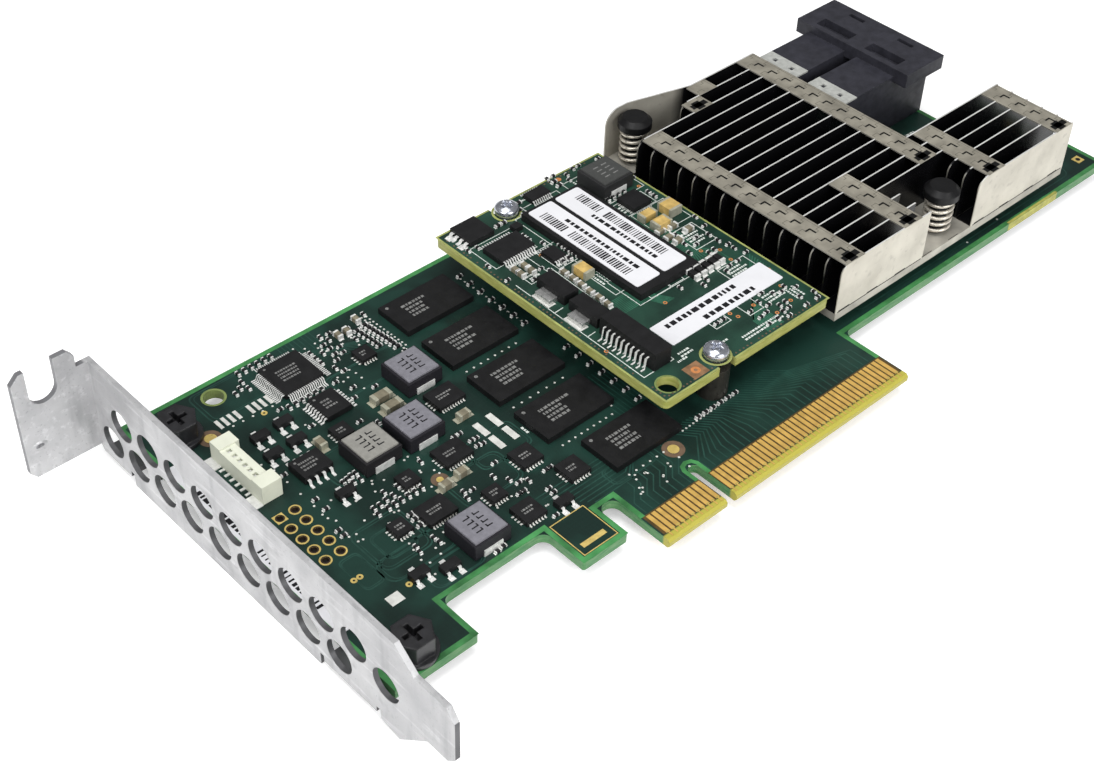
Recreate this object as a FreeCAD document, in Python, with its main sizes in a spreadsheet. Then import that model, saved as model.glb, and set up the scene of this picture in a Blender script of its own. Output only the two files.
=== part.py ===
import FreeCAD, Part
import Sketcher
import math
import os
import re

# Low-profile storage controller card, in millimetres.
# +X runs along the card from the bracket's outer face to the far end, +Y from
# the gold contact edge to the top edge, +Z out of the component side.
# X = 0 is the bracket's outer face, Y = 0 the contact edge, Z = 0 the board's underside.

os.makedirs("parts", exist_ok=True)
doc = FreeCAD.newDocument("controller_card")
sheet = doc.addObject("Spreadsheet::Sheet", "Dims")

DIMS = [
    # main board
    ("board_t", 1.57), ("board_gap", 2.6), ("board_len", 167.65), ("board_top", 68.9),
    ("lower_edge", 12.9),
    ("foot_end", 16.7), ("foot_low", 5.1), ("hook_wide", 8.5),
    ("hook_low", 4.9), ("hook_slot", 3.2), ("slot_top", 11.2), ("tongue_len", 52.2),
    ("key_wide", 1.9), ("key_deep", 8.4), ("cut_back", 11.6), ("cut_from", 35.0),
    ("corner_r", 1.6), ("edge_r", 0.5), ("bevel_t", 0.4), ("free_hole_x", 17.0),
    ("free_hole_y", 65.3), ("free_hole_r", 1.6),
    # gold contacts
    ("finger_x", 48.25), ("finger_pitch", 1.0), ("finger_wide", 0.7), ("finger_low", 1.4),
    ("finger_long", 4.1), ("finger_t", 0.04), ("finger_margin", 1.15), ("short_row", 11), ("long_row", 38),
    ("key_step", 3.0),
    # bracket and its screws
    ("plate_t", 0.86), ("plate_low", -2.1), ("plate_high", 16.32), ("fold_y", 69.6),
    ("tip_y", -9.6), ("tongue_low", 3.0), ("tongue_high", 13.2), ("tab_out", 11.6),
    ("tab_low", 0.6), ("tab_high", 19.6), ("tab_slot", 4.42), ("tab_slot_x", 7.15),
    ("tab_slot_low", 13.0), ("vent_r", 2.6), ("vent_pitch", 6.53), ("vent_top_y", 62.0),
    ("vent_top_z", 8.55), ("vent_row_z", 5.35), ("ear_long", 12.6), ("ear_relief", 0.8),
    ("ear_a_low", 61.5), ("ear_b_low", 5.7), ("ear_b_high", 16.5), ("screw_x", 8.5),
    ("screw_a_y", 61.6), ("screw_b_y", 8.6), ("screw_r", 1.45), ("thread_fit", 0.02),
    ("screw_hole_gap", 0.2), ("flange_r", 3.5), ("flange_t", 0.7), ("head_r", 3.1),
    ("head_high", 3.0), ("thread_collar", 1.2), ("drive_deep", 1.5), ("drive_wide", 0.75),
    ("drive_long", 3.2),
    # controller, heatsink and push pins
    ("chip_x", 115.7), ("chip_y", 41.4), ("carrier_wide", 31.0), ("carrier_t", 1.2),
    ("lid_wide", 19.0), ("lid_t", 0.8), ("pad_t", 0.3), ("base_t", 1.4),
    ("sink_gap", 1.0), ("sink_low", 14.2), ("sink_far", 158.2), ("sink_top_y", 64.4),
    ("fin_high", 9.25), ("fin_t", 0.25), ("fin_pitch", 3.14), ("strip_wide", 4.4),
    ("foot_wide", 3.0), ("bay_near", 119.6), ("bay_far", 132.4), ("block_far", 133.0),
    ("head_gap", 0.1), ("far_block_y", 31.2), ("bend_in", 2.0),
    ("bend_run", 5.0), ("bend_to", 117.0), ("bend_r", 3.0), ("side_near", 111.5), ("nose_r", 1.8),
    ("strip_in", 0.9), ("strip_mid", 113.0), ("strip_back", 134.6), ("strip_end", 153.4),
    ("pin_a_in", 5.8), ("pin_a_y", 64.7), ("pin_b_x", 127.6), ("pin_b_y", 18.0),
    ("pin_r", 1.4), ("pin_head_r", 2.95), ("pin_head_t", 2.0), ("pin_top", 13.9),
    ("pin_gap", 0.12), ("spring_wire", 0.6), ("spring_r", 2.2), ("spring_turns", 5),
    ("barb_r", 1.75), ("barb_t", 1.9),
    # cable sockets
    ("socket_gap", 2.2), ("socket_y", 44.8), ("socket_long", 23.4), ("socket_wide", 8.6),
    ("socket_pitch", 11.2), ("socket_high", 11.3), ("hood_long", 10.3), ("hood_wide", 25.4),
    ("hood_high", 12.9), ("hood_low", 10.2), ("mouth_low", 2.4), ("mouth_high", 6.4),
    ("mouth_wide", 6.8), ("mouth_deep", 12.0), ("wafer_t", 0.9), ("wafer_long", 7.0),
    ("wafer_wide", 5.6), ("clip_long", 3.1), ("clip_t", 0.3), ("clip_hole", 0.9),
    ("latch_long", 2.6), ("latch_wide", 7.4), ("latch_deep", 1.6), ("latch_run", 3.5),
    ("latch_lid", 0.8), ("slit_long", 0.9), ("slit_wide", 3.4),
    # add-on module
    ("stand_high", 5.5), ("module_t", 1.57), ("module_r", 1.0), ("module_x", 61.0), ("module_long", 36.0),
    ("module_y", 15.0), ("module_wide", 51.4), ("stand_x", 74.0), ("stand_in", 2.5),
    ("stand_r", 2.4), ("stand_notch", 1.75), ("pan_r", 2.7), ("pan_high", 1.9),
    ("pan_shank_r", 1.25), ("pan_shank", 4.2), ("module_hole_x", 64.0),
    ("module_hole_y", 17.6), ("module_hole_r", 1.7), ("mate_in", 6.0), ("mate_y", 22.0),
    ("mate_long", 38.0), ("mate_wide", 3.6), ("flash_gap", 0.4),
    ("flash_long", 12.6), ("flash_wide", 27.2), ("flash_high", 1.3), ("label_t", 0.1),
    ("label_long", 25.0), ("label_wide", 5.1), ("label_gap", 0.8), ("side_long", 3.4),
    ("side_wide", 11.6), ("side_high", 3.2), ("side_pitch", 1.0), ("side_leads", 10),
    ("side_lead_out", 1.4), ("side_lead_wide", 0.4), ("power_long", 3.0), ("power_wide", 6.2),
    ("power_high", 1.8), ("power_gap", 1.0), ("tab_long", 1.7), ("tab_wide", 3.2),
    ("tab_thick", 0.9),
    # memory chips and power inductors
    ("mem_long", 13.3), ("mem_wide", 7.5), ("mem_t", 1.1), ("mem_x", 47.5),
    ("mem_y", 25.1), ("mem_pitch", 10.6), ("mem_last_x", 50.9), ("mem_last_y", 14.3),
    ("coil_long", 6.86), ("coil_wide", 6.47), ("coil_high", 3.0), ("coil_edge", 0.35),
    ("coil_lead", 3.4), ("coil_lead_t", 0.15), ("coil_lead_up", 1.2), ("coil_lead_out", 0.6),
    ("coil_a_x", 41.8), ("coil_a_y", 49.2), ("coil_b_x", 34.4), ("coil_b_y", 39.8),
    ("coil_c_x", 26.7), ("coil_c_y", 40.2), ("coil_d_x", 27.8), ("coil_d_y", 18.1),
    # wire connector and header holes
    ("plug_x", 9.4), ("plug_y", 42.4), ("plug_wide", 2.7), ("plug_long", 12.5),
    ("plug_high", 3.0), ("plug_ear", 0.7), ("plug_ear_long", 2.4), ("plug_ear_up", 0.3),
    ("plug_in", 1.2), ("plug_hole", 0.7), ("plug_floor", 0.8), ("plug_pitch", 1.25),
    ("plug_pin", 0.4), ("header_x", 9.6), ("header_y", 28.5), ("header_pitch", 2.58),
    ("ring_r", 0.95), ("ring_hole_r", 0.5), ("pad_film", 0.05), ("plug_tail", 0.8),
    ("anchor_long", 2.6), ("anchor_wide", 1.4), ("serial_x", 0.4), ("serial_long", 3.6),
    ("serial_low", 4.8), ("serial_high", 1.0),
    # leaded chips
    ("quad_x", 28.2), ("quad_y", 61.2), ("quad_wide", 7.0), ("quad_t", 1.3),
    ("quad_pitch", 0.4), ("quad_row", 16), ("quad_lead", 0.2), ("lead_t", 0.15),
    ("lead_out", 1.0), ("stand_off", 0.1), ("rows_x", 28.6), ("rows_y", 52.2),
    ("rows_long", 4.4), ("rows_wide", 5.0), ("rows_high", 1.0), ("rows_pitch", 0.6),
    ("rows_lead", 0.25), ("eight_x", 18.6), ("eight_y", 43.6), ("eight_long", 5.0),
    ("eight_wide", 4.0), ("eight_high", 1.4), ("eight_pitch", 1.27), ("eight_lead", 0.42),
    # three-lead transistors and chip resistors
    ("trio_long", 2.9), ("trio_wide", 1.4), ("trio_high", 1.0), ("trio_spread", 0.95),
    ("trio_lead", 0.45), ("trio_out", 0.6), ("tiny_long", 1.0), ("tiny_wide", 0.5),
]

# Small parts on the main board: name, centre along X and Y, and the three lengths.
BOARD_PARTS = {
    "power_stage_chips": [
        ("stage_a", 42.5, 42.5, 5, 4, 0.9), ("stage_b", 35.5, 32.6, 5, 4, 0.9),
        ("stage_c", 26.4, 25.4, 5, 4, 0.9),
    ],
    "regulator_chips": [
        ("regulator_a", 43, 25.1, 3.8, 3.8, 0.9), ("regulator_b", 36, 16.8, 3.8, 3.8, 0.9),
        ("regulator_c", 46.4, 18.8, 3.8, 3.8, 0.9),
    ],
    "small_flat_chips": [
        ("flat_a", 26.4, 46.6, 2.8, 2.8, 0.9), ("flat_b", 34.7, 22.4, 2.8, 2.8, 0.9),
        ("flat_c", 27.3, 32.6, 2.8, 2.8, 0.9), ("flat_d", 20.6, 26.1, 2.8, 2.8, 0.9),
        ("flat_e", 39.5, 57.8, 2.8, 2.8, 0.9),
    ],
    "board_capacitors": [
        ("tan_a", 35.4, 48.6, 3.2, 1.5, 1.1), ("tan_b", 35.4, 46, 3.2, 1.5, 1.1),
        ("tan_c", 42, 37.6, 2, 1.2, 1.1), ("tan_d", 34, 28.7, 2, 1.2, 1.1),
        ("tan_e", 30.7, 28.2, 2, 1.2, 1.1), ("tan_f", 22.6, 46.6, 1.2, 2, 1.1),
    ],
}
# Small parts on the module: name, shares of its length and width, and the three lengths.
MODULE_PARTS = {
    "module_chips": [
        ("deck_a", 0.14, 0.938, 5, 5, 1), ("deck_b", 0.183, 0.802, 7, 4.4, 1),
        ("deck_d", 0.847, 0.724, 4, 4, 0.9),
        ("deck_e", 0.544, 0.951, 4, 2.2, 0.9), ("deck_f", 0.3, 0.689, 2.6, 3, 0.9),
        ("deck_g", 0.31, 0.866, 1.6, 1.4, 0.9),
    ],
    "module_capacitors": [
        ("deck_tan_a", 0.314, 0.568, 2, 3, 1.5), ("deck_tan_b", 0.808, 0.638, 3, 1.6, 1.3),
        ("deck_tan_c", 0.808, 0.578, 3, 2, 1.5), ("deck_tan_d", 0.922, 0.619, 2.6, 3, 1.6),
    ],
}
# Three-lead transistors: name and centre.
TRIOS = [
    ("trio_a", 21.2, 53.7), ("trio_b", 16.9, 53.4), ("trio_c", 16.2, 49.2), ("trio_d", 20.4, 49.4),
    ("trio_e", 19.2, 36.4), ("trio_f", 41, 14.9), ("trio_g", 21.2, 16.2), ("trio_h", 17.2, 17.9),
]
# Rows of chip resistors: name, first centre, last centre, pitch, and whether each lies along X.
TINY_ROWS = [
    ("row_a", 63.1, 47.4, 63.1, 63, 2.6, True), ("row_b", 64.2, 23.4, 64.2, 39, 2.6, True),
    ("row_c", 22.6, 67, 28.6, 67, 1.2, False), ("row_d", 24, 56, 30, 56, 1.2, False),
    ("row_e", 22, 30.4, 28, 30.4, 1.2, False), ("row_f", 68, 14.6, 76, 14.6, 1.6, True),
]
# Bare pads: name, centre, long and wide.
TIN_PADS = [
    ("tin_a", 45.1, 34.2, 1.1, 3), ("tin_b", 45.1, 30.6, 1.1, 3), ("tin_c", 42.3, 33.9, 1.1, 3),
    ("tin_d", 42.3, 30.4, 1.1, 3), ("tin_e", 12.3, 17, 2.2, 1.8),
]
TIN_ROWS = [("tin_row_a", 14.2, 59.9, 0.6, 2), ("tin_row_b", 19.6, 59.6, 0.6, 2)]
GOLD_DOTS = [("dot_a", 11.6, 58.3, 0.6), ("dot_b", 31.1, 30, 0.55), ("dot_c", 60.5, 12.4, 0.9)]

for parts in BOARD_PARTS.values():
    for name, *numbers in parts:
        DIMS += zip([name + end for end in ("_x", "_y", "_long", "_wide", "_high")], numbers)
for parts in MODULE_PARTS.values():
    for name, share_x, share_y, *numbers in parts:
        DIMS += zip([name + end for end in ("_long", "_wide", "_high")], numbers)
for name, *numbers in TRIOS:
    DIMS += zip([name + "_x", name + "_y"], numbers)
for name, *numbers in TINY_ROWS:
    DIMS += zip([name + end for end in ("_x", "_y", "_end_x", "_end_y", "_pitch")], numbers)
for name, *numbers in TIN_PADS + TIN_ROWS:
    DIMS += zip([name + end for end in ("_x", "_y", "_long", "_wide")], numbers)
for name, *numbers in GOLD_DOTS:
    DIMS += zip([name + "_x", name + "_y", name + "_r"], numbers)

for row, (alias, value) in enumerate(DIMS, 1):
    sheet.set("A%d" % row, alias)
    sheet.set("B%d" % row, str(value))
    sheet.setAlias("B%d" % row, alias)
doc.recompute()

NAMES = set(alias for alias, value in DIMS)
WORD = re.compile(r"[A-Za-z_][A-Za-z0-9_]*")
NODES = []


def bound(text):
    """Point each size named in an expression at the sheet."""
    return WORD.sub(lambda m: "Dims." + m.group(0) if m.group(0) in NAMES else m.group(0), str(text))


def size(alias):
    """The number that the sheet holds for one size."""
    return float(sheet.get(alias))


def bind(obj, **texts):
    for prop, text in texts.items():
        obj.setExpression(prop, bound(text))


def place(obj, x="0", y="0", z="0"):
    obj.setExpression("Placement.Base.x", bound(x))
    obj.setExpression("Placement.Base.y", bound(y))
    obj.setExpression("Placement.Base.z", bound(z))
    return obj


def box(x, y, z, long, wide, high, name="Block"):
    """A block from its low corner and its three lengths."""
    obj = doc.addObject("Part::Box", name)
    bind(obj, Length=long, Width=wide, Height=high)
    return place(obj, x, y, z)


def slab(cx, cy, z, long, wide, high, name="Slab"):
    """A block centred on cx, cy that stands on z."""
    return box("%s - (%s) / 2" % (cx, long), "%s - (%s) / 2" % (cy, wide), z, long, wide, high, name)


def rod(x, y, z, radius, high, name="Rod"):
    obj = doc.addObject("Part::Cylinder", name)
    bind(obj, Radius=radius, Height=high)
    return place(obj, x, y, z)


def rod_x(x, y, z, radius, long, name="Bore"):
    """A rod along +X."""
    obj = rod(x, y, z, radius, long, name)
    obj.Placement = FreeCAD.Placement(FreeCAD.Vector(), FreeCAD.Rotation(FreeCAD.Vector(0, 1, 0), 90))
    return place(obj, x, y, z)


def rod_y(x, y, z, radius, long, name="Bore"):
    """A rod along +Y."""
    obj = rod(x, y, z, radius, long, name)
    obj.Placement = FreeCAD.Placement(FreeCAD.Vector(), FreeCAD.Rotation(FreeCAD.Vector(1, 0, 0), -90))
    return place(obj, x, y, z)


def cone(x, y, z, low_r, high_r, high, name="Taper"):
    obj = doc.addObject("Part::Cone", name)
    bind(obj, Radius1=low_r, Radius2=high_r, Height=high)
    return place(obj, x, y, z)


def cut(base, *tools):
    """The base with each tool taken out of it."""
    tool = tools[0]
    if len(tools) > 1:
        tool = doc.addObject("Part::MultiFuse", "Tools")
        tool.Shapes = list(tools)
    obj = doc.addObject("Part::Cut", "Cut")
    obj.Base = base
    obj.Tool = tool
    return obj


def fuse(*pieces):
    obj = doc.addObject("Part::MultiFuse", "Joined")
    obj.Shapes = list(pieces)
    obj.Refine = True
    return obj


def group(pieces):
    """Separate solids of one kind, kept in one node."""
    obj = doc.addObject("Part::Compound", "Group")
    obj.Links = list(pieces)
    return obj


def node(label, obj):
    obj.Label = label
    NODES.append(obj)
    return obj


def origin_plane(body, role):
    return [o for o in body.Origin.OriginFeatures if o.Role == role][0]


def outline(body, role, corners, name="Outline"):
    """A closed sketch of straight lines whose corners are bound to the sheet."""
    sketch = body.newObject("Sketcher::SketchObject", name)
    sketch.AttachmentSupport = [(origin_plane(body, role), "")]
    sketch.MapMode = "FlatFace"
    count = len(corners)
    for i in range(count):
        x, y = float(i), float((i * i) % 7)
        start, end = FreeCAD.Vector(x, y, 0), FreeCAD.Vector(x + 1, y + 1, 0)
        sketch.addGeometry(Part.LineSegment(start, end), False)
    for i in range(count):
        sketch.addConstraint(Sketcher.Constraint("Coincident", i, 2, (i + 1) % count, 1))
    for i, (across, up) in enumerate(corners):
        h = sketch.addConstraint(Sketcher.Constraint("DistanceX", -1, 1, i, 1, 1.0))
        sketch.setExpression("Constraints[%d]" % h, bound(across))
        v = sketch.addConstraint(Sketcher.Constraint("DistanceY", -1, 1, i, 1, 1.0))
        sketch.setExpression("Constraints[%d]" % v, bound(up))
    return sketch


# Heights that several pieces share.
TOP = "board_t"
LID_TOP = "board_t + carrier_t + lid_t"
BASE_LOW = "board_t + carrier_t + lid_t + pad_t"
BASE_TOP = BASE_LOW + " + base_t"
MODULE_LOW = "board_t + stand_high"
MODULE_TOP = MODULE_LOW + " + module_t"
TONGUE_X = "finger_x - finger_margin"
KEY_X = "finger_x + (short_row - 1) * finger_pitch + key_step / 2"
BEND_Y = "pin_a_y + pin_head_r + head_gap + fin_t"
SOCKET_X = "block_far + socket_gap"
SINK_NEAR = "module_x + module_long + sink_gap"
BEND_FROM = SINK_NEAR + " + bend_in + bend_run"
PIN_A_X = SINK_NEAR + " + pin_a_in"
MATE_X = "module_x + module_long - mate_in"
FLASH_X = "module_x + 0.547 * module_long - flash_long / 2"
FLASH_Y = "module_y + module_wide - stand_in - pan_r - flash_gap - flash_wide"
STAND_YS = ["module_y + stand_in", "module_y + module_wide - stand_in"]
SCREWS = [("screw_x", "screw_a_y"), ("screw_x", "screw_b_y")]
PINS = [(PIN_A_X, "pin_a_y"), ("pin_b_x", "pin_b_y")]


def value(text):
    """Work out an expression from the sheet's numbers."""
    numbers = {alias: size(alias) for alias in NAMES}
    return float(FreeCAD.Units.Quantity(WORD.sub(lambda m: repr(numbers[m.group(0)]), text)).Value)


def dress(body, kind, prop, amount, test):
    """Round or bevel the edges of a body's last feature that pass a test."""
    doc.recompute()
    base = body.Tip
    edges = ["Edge%d" % n for n, e in enumerate(base.Shape.Edges, 1) if test(e)]
    feature = body.newObject("PartDesign::" + kind, kind)
    feature.Base = (base, edges)
    bind(feature, **{prop: amount})
    body.Tip = feature
    return feature


def upright_at(points):
    """A test for upright edges that stand on any of the points."""
    def test(edge):
        a, b = edge.Vertexes[0].Point, edge.Vertexes[-1].Point
        if abs(a.x - b.x) > 1e-4 or abs(a.y - b.y) > 1e-4:
            return False
        return any(abs(a.x - x) < 1e-3 and abs(a.y - y) < 1e-3 for x, y in points)
    return test


def pad_of(role, corners, thick, name):
    body = doc.addObject("PartDesign::Body", name)
    sketch = outline(body, role, corners)
    pad = body.newObject("PartDesign::Pad", "Pad")
    pad.Profile = sketch
    bind(pad, Length=thick)
    sketch.Visibility = False
    return body


def board_blank():
    left = "board_gap"
    right = "board_gap + board_len"
    back = right + " - cut_back"
    hook_right = TONGUE_X + " - hook_slot"
    hook_left = hook_right + " - hook_wide"
    tongue_end = TONGUE_X + " + tongue_len"
    key_left = KEY_X + " - key_wide / 2"
    key_right = KEY_X + " + key_wide / 2"
    corners = [
        (left, "foot_low"), ("foot_end", "foot_low"), ("foot_end", "lower_edge"),
        (hook_left, "lower_edge"), (hook_left, "hook_low"), (hook_right, "hook_low"),
        (hook_right, "slot_top"), (TONGUE_X, "slot_top"), (TONGUE_X, "0"),
        (key_left, "0"), (key_left, "key_deep"), (key_right, "key_deep"), (key_right, "0"),
        (tongue_end, "0"), (tongue_end, "lower_edge"), (right, "lower_edge"),
        (right, "cut_from"), (back, "cut_from"), (back, "board_top"), (left, "board_top"),
    ]
    body = pad_of("XY_Plane", corners, "board_t", "Board")
    at = [(value(x), value(y)) for x, y in corners]
    dress(body, "Fillet", "Radius", "corner_r", upright_at([at[i] for i in (2, 3, 14, 17)]))
    dress(body, "Fillet", "Radius", "hook_slot * 0.48", upright_at([at[6], at[7]]))
    dress(body, "Fillet", "Radius", "key_wide * 0.48", upright_at([at[10], at[11]]))
    dress(body, "Fillet", "Radius", "edge_r", upright_at([at[i] for i in (1, 4, 5, 15, 16, 18)]))

    def along_contacts(edge):
        a, b = edge.Vertexes[0].Point, edge.Vertexes[-1].Point
        return abs(a.y) < 1e-4 and abs(b.y) < 1e-4 and abs(a.z - b.z) < 1e-4
    bevel = dress(body, "Chamfer", "Size", "bevel_t", along_contacts)
    bevel.ChamferType = "Equal distance"
    return body


def header_spots():
    """Centres of the two rows of plated holes, square pad first."""
    for row in range(2):
        for step in range(5):
            x = "header_x + %d * header_pitch" % row
            yield x, "header_y + %d * header_pitch" % (4 - step)


def make_board():
    holes = [rod("free_hole_x", "free_hole_y", "-1", "free_hole_r", "board_t + 2")]
    for x, y in SCREWS:
        holes.append(rod(x, y, "-1", "screw_r + screw_hole_gap", "board_t + 2"))
    for x, y in PINS:
        holes.append(rod(x, y, "-1", "pin_r + pin_gap", "board_t + 2"))
    for x, y in header_spots():
        holes.append(rod(x, y, "-1", "ring_hole_r", "board_t + 2"))
    node("main_board", cut(board_blank(), *holes))


def make_contacts():
    fingers = []
    for side in (TOP, "-finger_t"):
        for i in range(int(size("short_row"))):
            x = "finger_x + %d * finger_pitch - finger_wide / 2" % i
            fingers.append(box(x, "finger_low", side, "finger_wide", "finger_long", "finger_t"))
        for i in range(int(size("long_row"))):
            x = "finger_x + (short_row - 1 + %d) * finger_pitch + key_step - finger_wide / 2" % i
            fingers.append(box(x, "finger_low", side, "finger_wide", "finger_long", "finger_t"))
    node("edge_contacts", group(fingers))


def vent_spots():
    for i in range(9):
        yield "vent_top_y - %d * vent_pitch" % i, "vent_top_z"
        yield "vent_top_y + vent_pitch / 2 - %d * vent_pitch" % i, "vent_top_z - vent_row_z"
    yield "vent_top_y - 9 * vent_pitch + vent_r / 10", "vent_top_z - vent_row_z * 0.4"


def make_bracket():
    relief = "ear_relief"
    ear_high = "fold_y - plate_t - 0.4"
    shelf = "-plate_t"
    plate = pad_of("YZ_Plane", [
        ("fold_y", "tab_low"), ("fold_y - 1", shelf), ("ear_a_low", shelf),
        ("ear_a_low", "0.2"), ("ear_a_low - " + relief, "0.2"), ("ear_a_low - " + relief, "plate_low"),
        ("ear_b_high + " + relief, "plate_low"), ("ear_b_high + " + relief, "0.2"),
        ("ear_b_high", "0.2"), ("ear_b_high", shelf), ("ear_b_low", shelf), ("ear_b_low", "0.2"),
        ("ear_b_low - " + relief, "0.2"), ("ear_b_low - " + relief, "plate_low * 0.7"),
        ("1.2", "plate_low"), ("-4.4", "tongue_low"), ("tip_y + 1.4", "tongue_low"),
        ("tip_y", "tongue_low + 1.4"), ("tip_y", "tongue_high - 2"), ("tip_y + 1.4", "tongue_high"),
        ("-2.2", "tongue_high"), ("1.4", "plate_high"), ("fold_y", "plate_high"),
    ], "plate_t", "Plate")
    vents = [rod_x("-1", y, z, "vent_r", "plate_t + 2") for y, z in vent_spots()]
    plate = cut(plate, *vents)
    prong = "-(tab_slot_x - tab_slot / 2 - 3.2)"
    tab = pad_of("XZ_Plane", [
        ("plate_t", "tab_low"), ("plate_t", "plate_high"), (prong, "plate_high"),
        (prong, "tab_high - 1.2"), (prong + " - 1", "tab_high"), ("-tab_out + 1.4", "tab_high"),
        ("-tab_out", "tab_high - 1.4"), ("-tab_out", "tab_low + 1.2"), ("-tab_out + 1", "tab_low"),
    ], "plate_t", "Tab")
    tab.setExpression("Placement.Base.y", bound("fold_y"))
    slot_z = "tab_slot_low + tab_slot / 2"
    throat = box("-tab_slot_x - tab_slot / 2", "fold_y - plate_t - 1", slot_z,
                 "tab_slot", "plate_t + 2", "tab_high")
    curve = rod_y("-tab_slot_x", "fold_y - plate_t - 1", slot_z, "tab_slot / 2", "plate_t + 2")
    tab = cut(tab, throat, curve)
    leaf_long = "ear_long - plate_t * 3"
    ear_a = [box("0", "ear_a_low", shelf, "ear_long", ear_high + " - ear_a_low", "plate_t"),
             box("plate_t * 3", "screw_a_y - flange_r", shelf, leaf_long,
                 ear_high + " - screw_a_y + flange_r", "plate_t")]
    ear_b = [box("0", "ear_b_low", shelf, "ear_long", "ear_b_high - ear_b_low", "plate_t")]
    collars = [rod(x, y, "-plate_t - thread_collar", "screw_r + 0.8", "plate_t + thread_collar")
               for x, y in SCREWS]
    holes = [rod(x, y, "-plate_t - thread_collar - 1", "screw_r + thread_fit",
                 "plate_t + thread_collar + 2") for x, y in SCREWS]
    node("bracket", cut(fuse(plate, tab, *ear_a, *ear_b, *collars), *holes))


def hexagon(x, y, z, radius, high):
    obj = doc.addObject("Part::Prism", "Hex")
    obj.Polygon = 6
    bind(obj, Circumradius=radius, Height=high)
    return place(obj, x, y, z)


def drive(x, y, z_top):
    """A cross recess cut down from z_top."""
    low = "%s - drive_deep" % z_top
    return [slab(x, y, low, "drive_long", "drive_wide", "drive_deep + 1"),
            slab(x, y, low, "drive_wide", "drive_long", "drive_deep + 1")]


def make_bracket_screws():
    screws = []
    for x, y in SCREWS:
        low = "-plate_t - thread_collar"
        head_top = "board_t + flange_t + head_high"
        body = fuse(rod(x, y, TOP, "flange_r", "flange_t"),
                    hexagon(x, y, "board_t + flange_t", "head_r", "head_high"),
                    rod(x, y, low, "screw_r", "board_t + plate_t + thread_collar"))
        screws.append(cut(body, *drive(x, y, head_top)))
    node("bracket_screws", group(screws))


def make_controller():
    node("controller_chip", fuse(
        slab("chip_x", "chip_y", TOP, "carrier_wide", "carrier_wide", "carrier_t"),
        slab("chip_x", "chip_y", "board_t + carrier_t", "lid_wide", "lid_wide", "lid_t")))
    node("thermal_pad", slab("chip_x", "chip_y", LID_TOP, "lid_wide", "lid_wide", "pad_t"))


def make_sink_base():
    plate = pad_of("XY_Plane", [
        (SINK_NEAR, "sink_low"), ("sink_far", "sink_low"), ("sink_far", "far_block_y"),
        ("block_far", "far_block_y"), ("block_far", "sink_top_y + 2"),
        ("bend_to", "sink_top_y + 2"), (BEND_FROM + " + 2", BEND_Y + " + fin_t"),
        (SINK_NEAR, BEND_Y + " + fin_t"),
    ], "base_t", "Base")
    plate.setExpression("Placement.Base.z", bound(BASE_LOW))
    holes = [rod(x, y, BASE_LOW + " - 1", "pin_r + pin_gap", "base_t + 2") for x, y in PINS]
    node("heatsink_base", cut(plate, *holes))


def fin(i, spans, strips):
    """One upright sheet: its runs along X, its bent-over tabs and its foot."""
    y = "sink_low + %d * fin_pitch" % i
    top = "%s + fin_high" % BASE_TOP
    pieces = []
    for low, high in spans:
        sheet_piece = box(low, y, BASE_TOP, "%s - (%s)" % (high, low), "fin_t", "fin_high")
        corner = box("%s - 1" % low, "%s - 1" % y, "%s - nose_r" % top, "nose_r + 1", "fin_t + 2",
                     "nose_r + 1")
        nose = rod_y("%s + nose_r" % low, "%s - 2" % y, "%s - nose_r" % top, "nose_r", "fin_t + 4")
        pieces.append(cut(sheet_piece, cut(corner, nose)))
        pieces.append(box(low, y, BASE_TOP, "%s - (%s)" % (high, low), "foot_wide", "fin_t"))
    for low in strips:
        pieces.append(box(low, y, "%s - fin_t" % top, "strip_wide", "fin_pitch", "fin_t"))
    return fuse(*pieces)


def bent_fin():
    """The top edge's sheet: straight, then bent outwards round the push pin."""
    bend_near = SINK_NEAR + " + bend_in"
    run = pad_of("XY_Plane", [
        (bend_near, BEND_Y + " - fin_t"), (BEND_FROM, BEND_Y + " - fin_t"),
        ("bend_to", "sink_low + 16 * fin_pitch"), ("block_far", "sink_low + 16 * fin_pitch"),
        ("block_far", "sink_low + 16 * fin_pitch + fin_t"),
        ("bend_to", "sink_low + 16 * fin_pitch + fin_t"), (BEND_FROM, BEND_Y),
        (bend_near, BEND_Y),
    ], "fin_high", "BentSheet")
    run.setExpression("Placement.Base.z", bound(BASE_TOP))
    centre_x = bend_near + " + bend_r"
    centre_z = BASE_TOP + " + fin_high - bend_r"
    corner = box(bend_near + " - 1", BEND_Y + " - 1", centre_z, "bend_r + 1", "fin_t + 2", "bend_r + 1")
    nose = rod_y(centre_x, BEND_Y + " - 2", centre_z, "bend_r", "fin_t + 4")
    return cut(run, cut(corner, nose))


def make_fins():
    near = SINK_NEAR + " + strip_in"
    far = "block_far - strip_wide"
    fins = []
    for i in range(16):
        if i < 3:
            spans = [(SINK_NEAR, "bay_near"), ("bay_far", "sink_far")]
            strips = [near, "strip_mid", "strip_back", "strip_end"]
        elif i < 5:
            spans = [(SINK_NEAR, "sink_far")]
            strips = [near, "strip_mid", far, "strip_back", "strip_end"]
        elif i < 6:
            spans = [(SINK_NEAR, "sink_far")]
            strips = [near, far]
        elif i < 14:
            spans = [(SINK_NEAR, "block_far")]
            strips = [near, far]
        elif i < 15:
            spans = [(SINK_NEAR, "block_far")]
            strips = ["side_near", far]
        else:
            spans = [("side_near", "block_far")]
            strips = ["side_near + strip_wide", far]
        for span in spans:
            inside = [s for s in strips if value(span[0]) <= value(s) < value(span[1])]
            fins.append(fin(i, [span], inside))
    fins.append(bent_fin())
    node("heatsink_fins", group(fins))


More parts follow.
